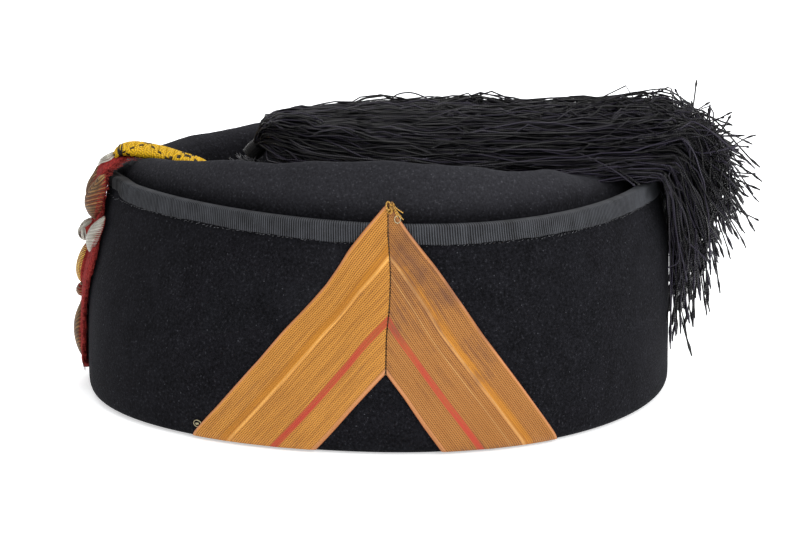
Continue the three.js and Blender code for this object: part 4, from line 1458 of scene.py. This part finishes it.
@dataclass
class FrontBraid:
    """A flat tube of plaited silk over the front of the roll, yellow with black flecks."""

    width: float = 13.0
    thickness: float = 4.2
    side: float = -1.0
    carriers: int = 22  # threads each way
    dark_carriers: tuple[tuple[int, ...], tuple[int, ...]] = ((3, 4, 14), (8, 9, 19))
    samples: int = 190
    turns: float = 1.7
    thread_radius: float = 0.56
    thread_flatness: float = 0.62
    bindings: tuple[tuple[int, float], ...] = ((15, 0.5), (18, 0.2), (21, 0.6))  # the sample, and the lean
    fray_count: int = 46
    fray_sample: int = -62  # the sample where the frayed ends start
    rows: tuple[tuple[float, float, float], ...] = (  # x, height and share of the full size
        (-91.5, 81.2, 0.5), (-89.6, 83.0, 0.74), (-85.5, 83.5, 1), (-79.5, 82.6, 1.04), (-73.5, 81.2, 1.0),
        (-68.5, 79.4, 0.9), (-63.5, 77.6, 0.74), (-58.8, 75.4, 0.5), (-54.5, 73.8, 0.36), (-50, 74.0, 0.28),
        (-46.8, 76.2, 0.22))

    def _round(self, angle: Points, out: Points, half_width: Points, half_depth: Points) -> Points:
        """Finds the way from the braid's middle line to its surface.

        Args:
            angle: How far round the braid, in radians.
            out: The direction off the hat.
            half_width: Half the braid's width there.
            half_depth: Half its thickness there.

        Returns:
            The ways in hat mm.
        """
        sideways = np.cos(angle)[:, None] * (0.0, 1.0, 0.0) * half_width
        return sideways + np.sin(angle)[:, None] * out * half_depth

    def _bind(self, threads: Threads, middle: Points, out: Points, size: Points) -> None:
        """Winds dark thread round the braid near its top, and frays its lower end.

        Args:
            threads: The mesh that the braid's threads are gathered in.
            middle: The braid's middle line in hat mm.
            out: The direction off the hat at each of its points.
            size: The share of its full size there.
        """
        rng = np.random.default_rng(47)
        turn = np.linspace(0, FULL_TURN, 40)
        half_width, half_depth = self.width / 2 + 0.5, self.thickness / 2 + 0.45
        for at, lean in self.bindings:
            ring = middle[at] + self._round(turn, out[at], half_width * size[at], half_depth * size[at])
            ring[:, 0] += lean * np.sin(turn)
            threads.lay(ring[None], 0.34, 0.0)
        count, share = self.fray_count, np.linspace(0, 1, 8)
        start = middle[self.fray_sample] + rng.uniform(-1, 1, (count, 3)) * (0.6, 4.4, 0.8)
        way = (0.78, 0.0, -0.5) + rng.normal(0, 0.3, (count, 3))
        ends = start[:, None] + way[:, None] * (rng.uniform(2, 7, count)[:, None] * share)[..., None]
        ends[..., 2] += 1.1 * np.sin(share * 2.6)
        threads.lay(ends, 0.2, rng.uniform(0.6, 1, count))

    def build(self) -> None:
        """Winds the carriers round each other both ways, binds them near the top and frays the end."""
        table = np.array(self.rows)
        fine = smooth_paths(table[None], np.linspace(0, 1, self.samples))[0]
        side = self.side + 6 * (smoothstep(fine[:, 0], -76, -60) - smoothstep(fine[:, 0], -59, -48))
        middle = np.stack([fine[:, 0], side, fine[:, 1]], -1)
        size = fine[:, 2:]
        out = np.cross(unit(np.gradient(middle, axis=0)), (0.0, 1.0, 0.0))
        gone = lengths_along(middle)
        turn = gone / gone[-1] * self.turns * FULL_TURN
        threads = Threads(sides=6)
        lines, faces, shades = [], [], []
        for way in (-1, 1):
            over = 0.3 * way * np.clip(1.6 * np.cos(self.carriers * turn / 2), -1, 1)[:, None]
            half_width = (self.width / 2 - 0.5 + over) * size
            half_depth = (self.thickness / 2 - 0.2 + over) * size
            for carrier in range(self.carriers):
                angle = way * turn + carrier / self.carriers * FULL_TURN
                lines.append(middle + self._round(angle, out, half_width, half_depth))
                faces.append(unit(self._round(angle, out, 1 / self.width, 1 / self.thickness)))
                shades.append(0.03 if carrier in self.dark_carriers[way > 0] else 0.9)
        threads.lay(np.stack(lines), self.thread_radius, np.array(shades), self.thread_flatness, np.stack(faces))
        self._bind(threads, middle, out, fine[:, 2])
        settle(threads.join("front_braid_plait"), PLAITED_SILK, "braid", "front_braid")


class TasselLayer(NamedTuple):
    """One level of the cords, in mm: over the dent, and at the rear.

    top is the height over the dent and spread half the width there. over is where the cords leave
    the rear of the crown, with the middle of their width there in side and half of it in reach, and
    turn, fall and tip are the x and height that they then run through.
    """

    top: float
    spread: float
    side: float
    reach: float
    over: tuple[float, float]
    turn: tuple[float, float]
    fall: tuple[float, float]
    tip: tuple[float, float]


@dataclass
class Tassel:
    """Knotted cords of twisted silk, bound at the crown and thrown over the back of the hat."""

    hat: HatForm
    neck: tuple[float, float, float] = (-44.5, -2, 81.5)
    layers: tuple[TasselLayer, ...] = (
        TasselLayer(82.0, 44, 4, 30, (97.0, 81.5), (105.5, 75.5), (107.6, 52), (107.5, 20)),
        TasselLayer(86.0, 40, 6, 29, (98.0, 84.5), (107.5, 78.5), (112.0, 60), (113.0, 34)),
        TasselLayer(90.5, 36, 9, 27, (99.0, 88.5), (109.5, 83.5), (117.5, 69), (123.0, 48)),
        TasselLayer(94.0, 31, 12, 25, (98.5, 91.6), (109.0, 89.0), (119.0, 80), (131.0, 64)),
        TasselLayer(96.6, 25, 14, 21, (97.0, 94.6), (106.0, 94.0), (114.0, 91), (129.0, 80)),
    )
    samples: int = 46
    radius: float = 0.28
    knot_shares: tuple[float, ...] = (0.985, 0.9885, 0.992, 0.995, 1)  # where a cord's last five rings lie
    knot_swells: tuple[float, ...] = (1.2, 1.75, 1.75, 1.2, 0.95)  # and how thick it is there
    binding_turns: int = 9
    tuft_count: int = 240
    pieces: tuple[tuple[str, float, float, int], ...] = (  # name, lowest and highest layer, cords
        ("tassel_low_cords", -0.1, 1.4, 460),
        ("tassel_middle_cords", 1.0, 2.9, 440),
        ("tassel_top_cords", 2.6, 4.1, 360),
    )
    strays: tuple[tuple[tuple[float, float, float], ...], ...] = (
        ((20, 2, 96.5), (44, -6, 93.5), (66, -16, 87.5), (82, -27, 81.5), (90, -31, 76.5)),
        ((56, -14, 90), (70, -26, 86.5), (80, -32, 82.5), (88, -34, 77.0)),
        ((4, 22, 95.5), (7, 22, 98.6), (12, 23, 99.2), (17, 24, 97.4), (20, 24, 95.0)),
        ((74, 20, 94), (80, 20, 97.2), (87, 21, 98.3), (92, 22, 96.4), (96, 22, 93.5)),
        ((92, 18, 93), (96.5, 19, 95.5), (98.6, 20, 98.0), (98.2, 20, 100.4)),
        ((98, 6, 92), (106, 6, 95), (112, 8, 94.6), (116, 10, 91.5), (123, 11, 92.5)),
        ((50, 6, 95), (53, 2, 97.2), (57, -3, 95.6), (55, -7, 92.6), (51, -8, 91)),
        ((-32, -6, 90), (-22, -14, 90.5), (-4, -20, 88.5), (20, -26, 87), (40, -30, 86)),
        ((99, -4, 88), (110, -2, 87), (121, 0, 85), (131, 2, 83.5)),
        ((100, 0, 84), (113, 2, 79), (124, 4, 74.5), (134, 6, 73)),
        ((101, 4, 80), (114, 6, 71), (124, 8, 62), (136, 9, 55.5)),
    )

    def _rear(self, side: Points) -> Points:
        """How much less far back the cuff reaches away from the hat's middle line."""
        bearings = np.linspace(-1.2, 1.2, 400)
        outline = self.hat.plan(bearings, np.full(bearings.shape, 60.0))
        return outline[:, 0].max() - np.interp(side, outline[:, 1], outline[:, 0])

    def _controls(self, level: Points, side: Points, rng: np.random.Generator) -> Points:
        """Plans the cords' lines, from the tie over the dent and down behind the hat.

        Args:
            level: Each cord's place in the table of layers, from 0 for the lowest.
            side: From -1 at the wearer's left to 1 at the right.
            rng: The source of small differences.

        Returns:
            Each cord's places in hat mm.
        """
        count = len(level)
        rank = np.arange(len(self.layers))

        def read(name: str, part: int = 0) -> Points:
            column = [np.atleast_1d(getattr(layer, name))[part] for layer in self.layers]
            past = np.maximum(level - rank[-1], 0) * (column[-1] - column[-2])
            return np.interp(level, rank, column) + past

        def stray(size: float) -> Points:
            return rng.normal(0, size, count)

        top, spread, over_height = read("top"), read("spread"), read("over", 1)
        high = np.clip(level / rank[-1], 0, 1)
        fan = rng.uniform(0, FULL_TURN, count)
        near = np.maximum(-side, 0) ** 2
        over_side = read("side") + side * read("reach") + stray(1.5)
        x, y, z = self.neck
        sinking = (top + 2 * over_height) / 3
        rows = [
            # inside the tie, and out of it
            (x + 1.3 * np.cos(fan), y + 1.3 * np.sin(fan), z + 0 * fan),
            (x + 2.6 + 1.4 * np.cos(fan), y + side * 1.4, z + 2.6 + 1.2 * high),
            (x + 6.5 + stray(0.8), y + side * 6 + stray(0.8), z + 4.0 + 8.2 * high + stray(0.5)),
            # spreading over the dent
            (x + 14 + stray(1.5), side * spread * 0.42 + stray(1),
             z + 4.4 + (top - z - 5.2) * 0.96 + stray(0.6)),
            (-12 + stray(3), side * spread * 0.72 + stray(2), top - 0.8 - 3 * near + stray(0.7)),
            (18 + stray(4), side * spread + stray(3), top - 5 * near + stray(0.7)),
            (60 + stray(4), 3 + side * spread * 0.9 + stray(3), sinking - 4 * near + stray(0.9)),
            # over the rear of the roll
            (read("over") + stray(1.5) - self._rear(over_side), over_side,
             over_height - 4.2 * near + stray(0.9)),
        ]
        share = (side + 1) / 2
        stop = [1.0, rng.uniform(0.65, 1.1, count), rng.random(count) ** 1.6 * 1.05 + 0.1]
        place = np.stack([read("turn"), read("turn", 1)])
        for i, name in enumerate(("turn", "fall", "tip")):
            place = place + (np.stack([read(name), read(name, 1)]) - place) * stop[i]
            sideways = over_side * (1 - 0.26 * i * (over_side < 0)) + (side * 3.5 + 1) * (i + 1)
            sideways = sideways + stray(1 + 1.4 * i)
            rows.append((
                place[0] - self._rear(sideways) + stray(0.7 + 1.1 * i),
                sideways,
                place[1] + (over_height - place[1]) * 0.12 * share * high + stray(0.6 + 2.4 * i),
            ))
        return np.stack([np.stack(row, -1) for row in rows], axis=1)

    def _knot(self, cords: Threads, paths: Points, radii: Points, rng: np.random.Generator) -> None:
        """Lays cords, each with a knot near its tip."""
        radii[:, -len(self.knot_swells):] *= self.knot_swells
        cords.lay(paths, radii, rng.uniform(0, 1, len(paths)) ** 3)

    def _bundle(self, name: str, low: float, high: float, count: int, seed: int) -> Object:
        """Lays one layer of cords."""
        rng = np.random.default_rng(seed)
        level = rng.uniform(low, high, count)
        side = np.clip(np.linspace(-1, 1, count) + rng.normal(0, 0.06, count), -1, 1)
        rng.shuffle(side)
        even = np.linspace(0, 0.982, self.samples - len(self.knot_shares))
        shares = np.concatenate([even, self.knot_shares])
        paths = smooth_paths(self._controls(level, side, rng), shares)
        sway = np.stack([waves(paths, 26, seed + i) for i in (1, 2, 3)], -1)
        sway *= rng.normal(0, 1, (count, 1, 1))
        curl = np.stack([waves(paths, 9, seed + i) for i in (4, 5, 6)], -1)
        curl *= rng.normal(0, 1, (count, 1, 1))
        loose = 1 - 0.55 * smoothstep(shares, 0.78, 0.92)
        paths = paths + 1.15 * sway * (smoothstep(shares, 0.1, 0.4) * loose)[None, :, None]
        tangled = smoothstep(shares, 0.4, 0.6) * (1 - smoothstep(shares, 0.76, 0.86))
        curled = (smoothstep(shares, 0.05, 0.3) + 2.1 * tangled) * loose
        paths = paths + 0.45 * curl * curled[None, :, None]
        radii = np.full((count, self.samples), self.radius) * rng.uniform(0.85, 1.2, (count, 1))
        cords = Threads(sides=4)
        self._knot(cords, paths, radii, rng)
        return cords.join(name)

    def _loose(self) -> None:
        """Cords that stray over the others, and the thread that binds the neck."""
        rng = np.random.default_rng(91)
        cords = Threads(sides=6)
        shares = np.concatenate([np.linspace(0, 0.95, 40), (0.965, 0.975, 0.985, 0.992, 1)])
        for line in self.strays:
            path = smooth_paths(np.array(line, float)[None], shares)
            self._knot(cords, path, np.full((1, len(shares)), self.radius), rng)
        turns = np.linspace(0, 1, 260)
        angle = turns * self.binding_turns * FULL_TURN
        x, y, z = self.neck
        wide = 2.7 + 0.3 * np.sin(turns * 3.1)
        across = x + 4.6 * turns - 0.4 + wide * np.cos(angle) * 0.75
        height = z - 0.3 + 4.4 * turns - wide * np.cos(angle) * 0.66
        cords.lay(np.stack([across, y + wide * np.sin(angle), height], -1)[None], 0.34, 0.0)
        settle(cords.join("tassel_stray_cords"), BLACK_SILK, "cord")

    def _tuft(self) -> None:
        """The felt's own fibres pulled up round the tie."""
        rng = np.random.default_rng(93)
        count, share = self.tuft_count, np.linspace(0, 1, 7)
        angle, start = rng.uniform(0, FULL_TURN, count), rng.uniform(2.6, 5.4, count)
        reach = rng.uniform(0.8, 3.6, count)[:, None] * share
        wide = start[:, None] + reach * rng.uniform(0.1, 0.9, count)[:, None]
        x, y, z = self.neck
        rise = z - 1.2 - 1.35 * (start - 2.6)[:, None] + reach * rng.uniform(-0.1, 0.8, count)[:, None]
        bend = angle[:, None] + rng.normal(0, 0.25, count)[:, None] * share**1.5
        tuft = Threads(sides=4)
        fibres = np.stack([x - 0.5 + wide * np.cos(bend), y + wide * np.sin(bend), rise], -1)
        tuft.lay(fibres, 0.08, rng.random(count))
        settle(tuft.join("felt_tuft_at_tie"), FELT_FIBRE, "felt")

    def build(self) -> None:
        """Makes the cords in three layers, the loose ones and the tie."""
        for i, (name, low, high, count) in enumerate(self.pieces):
            piece = self._bundle(name, low, high, count, 60 + 7 * i)
            settle(piece, BLACK_SILK, "cord", *(("tassel",) if i == 0 else ()))
        self._loose()
        self._tuft()


# The stage


@dataclass
class Stage:
    """A plain pale floor, soft studio light and the camera."""

    aim: tuple[float, float, float] = (-0.011547, 0.00064, 0.045)
    elevation: float = math.radians(13)
    distance: float = 1.1
    focal_mm: float = 139.84
    shift: tuple[float, float] = (0.02875, -0.014375)
    room_strength: float = 0.7
    floor_glow: float = 0.5  # keeps the floor white where the hat shades it

    def _floor(self) -> None:
        """A wide white floor that stays white where nothing shades it."""
        deselect()
        bpy.ops.mesh.primitive_circle_add(vertices=96, radius=12, fill_type="NGON",
                                          location=(0, 0, -0.0002))
        floor = bpy.context.object
        floor.name = "studio_floor"
        paint = bpy.data.materials.new("matt_white_board")
        paint.use_nodes = True
        shader = paint.node_tree.nodes["Principled BSDF"]
        shader.inputs["Base Color"].default_value = linear("#f4f5f7")
        shader.inputs["Roughness"].default_value = 0.9
        shader.inputs["Emission Color"].default_value = linear(WHITE)
        shader.inputs["Emission Strength"].default_value = self.floor_glow
        floor.data.materials.append(paint)

    def _light(self, name: str, place: tuple[float, float, float], size: float, watts: float) -> None:
        """Adds a soft square lamp that faces the hat."""
        lamp = bpy.data.lights.new(name, "AREA")
        lamp.size, lamp.energy = size, watts
        holder = bpy.data.objects.new(name, lamp)
        holder.location = place
        holder.rotation_euler = (Vector(self.aim) - Vector(place)).to_track_quat("-Z", "Y").to_euler()
        bpy.context.scene.collection.objects.link(holder)

    def build(self) -> None:
        """Sets up the floor, the lights, the world and the camera."""
        scene = bpy.context.scene
        self._floor()
        self._light("top_softbox", (0.2, 0.4, 1.6), 1.5, 24)
        self._light("right_softbox", (1.1, -1.3, 1.0), 1.2, 22)
        world = bpy.data.worlds.new("white_room")
        world.use_nodes = True
        background = world.node_tree.nodes["Background"]
        background.inputs["Color"].default_value = linear(WHITE)
        background.inputs["Strength"].default_value = self.room_strength
        scene.world = world
        scene.view_settings.view_transform = "Standard"
        lens = bpy.data.cameras.new("camera")
        lens.lens, lens.sensor_width = self.focal_mm, 36
        lens.shift_x, lens.shift_y = self.shift
        lens.clip_start, lens.clip_end = 0.05, 60
        camera = bpy.data.objects.new("camera", lens)
        back = Vector((0, -math.cos(self.elevation), math.sin(self.elevation)))
        camera.location = Vector(self.aim) + back * self.distance
        camera.rotation_euler = (-back).to_track_quat("-Z", "Y").to_euler()
        scene.collection.objects.link(camera)
        scene.camera = camera


def main() -> None:
    """Builds the stage and each sub-assembly in order."""
    logging.basicConfig(level=logging.INFO, format="%(name)s: %(message)s")
    hat = HatForm()
    Stage().build()
    FeltBody(hat).build()
    RibbonBinding(hat).build()
    RankChevron(hat).build()
    Badge(FrontForm(hat)).build()
    FrontBraid().build()
    Tassel(hat).build()
    deselect()


if __name__ == "__main__":
    main()
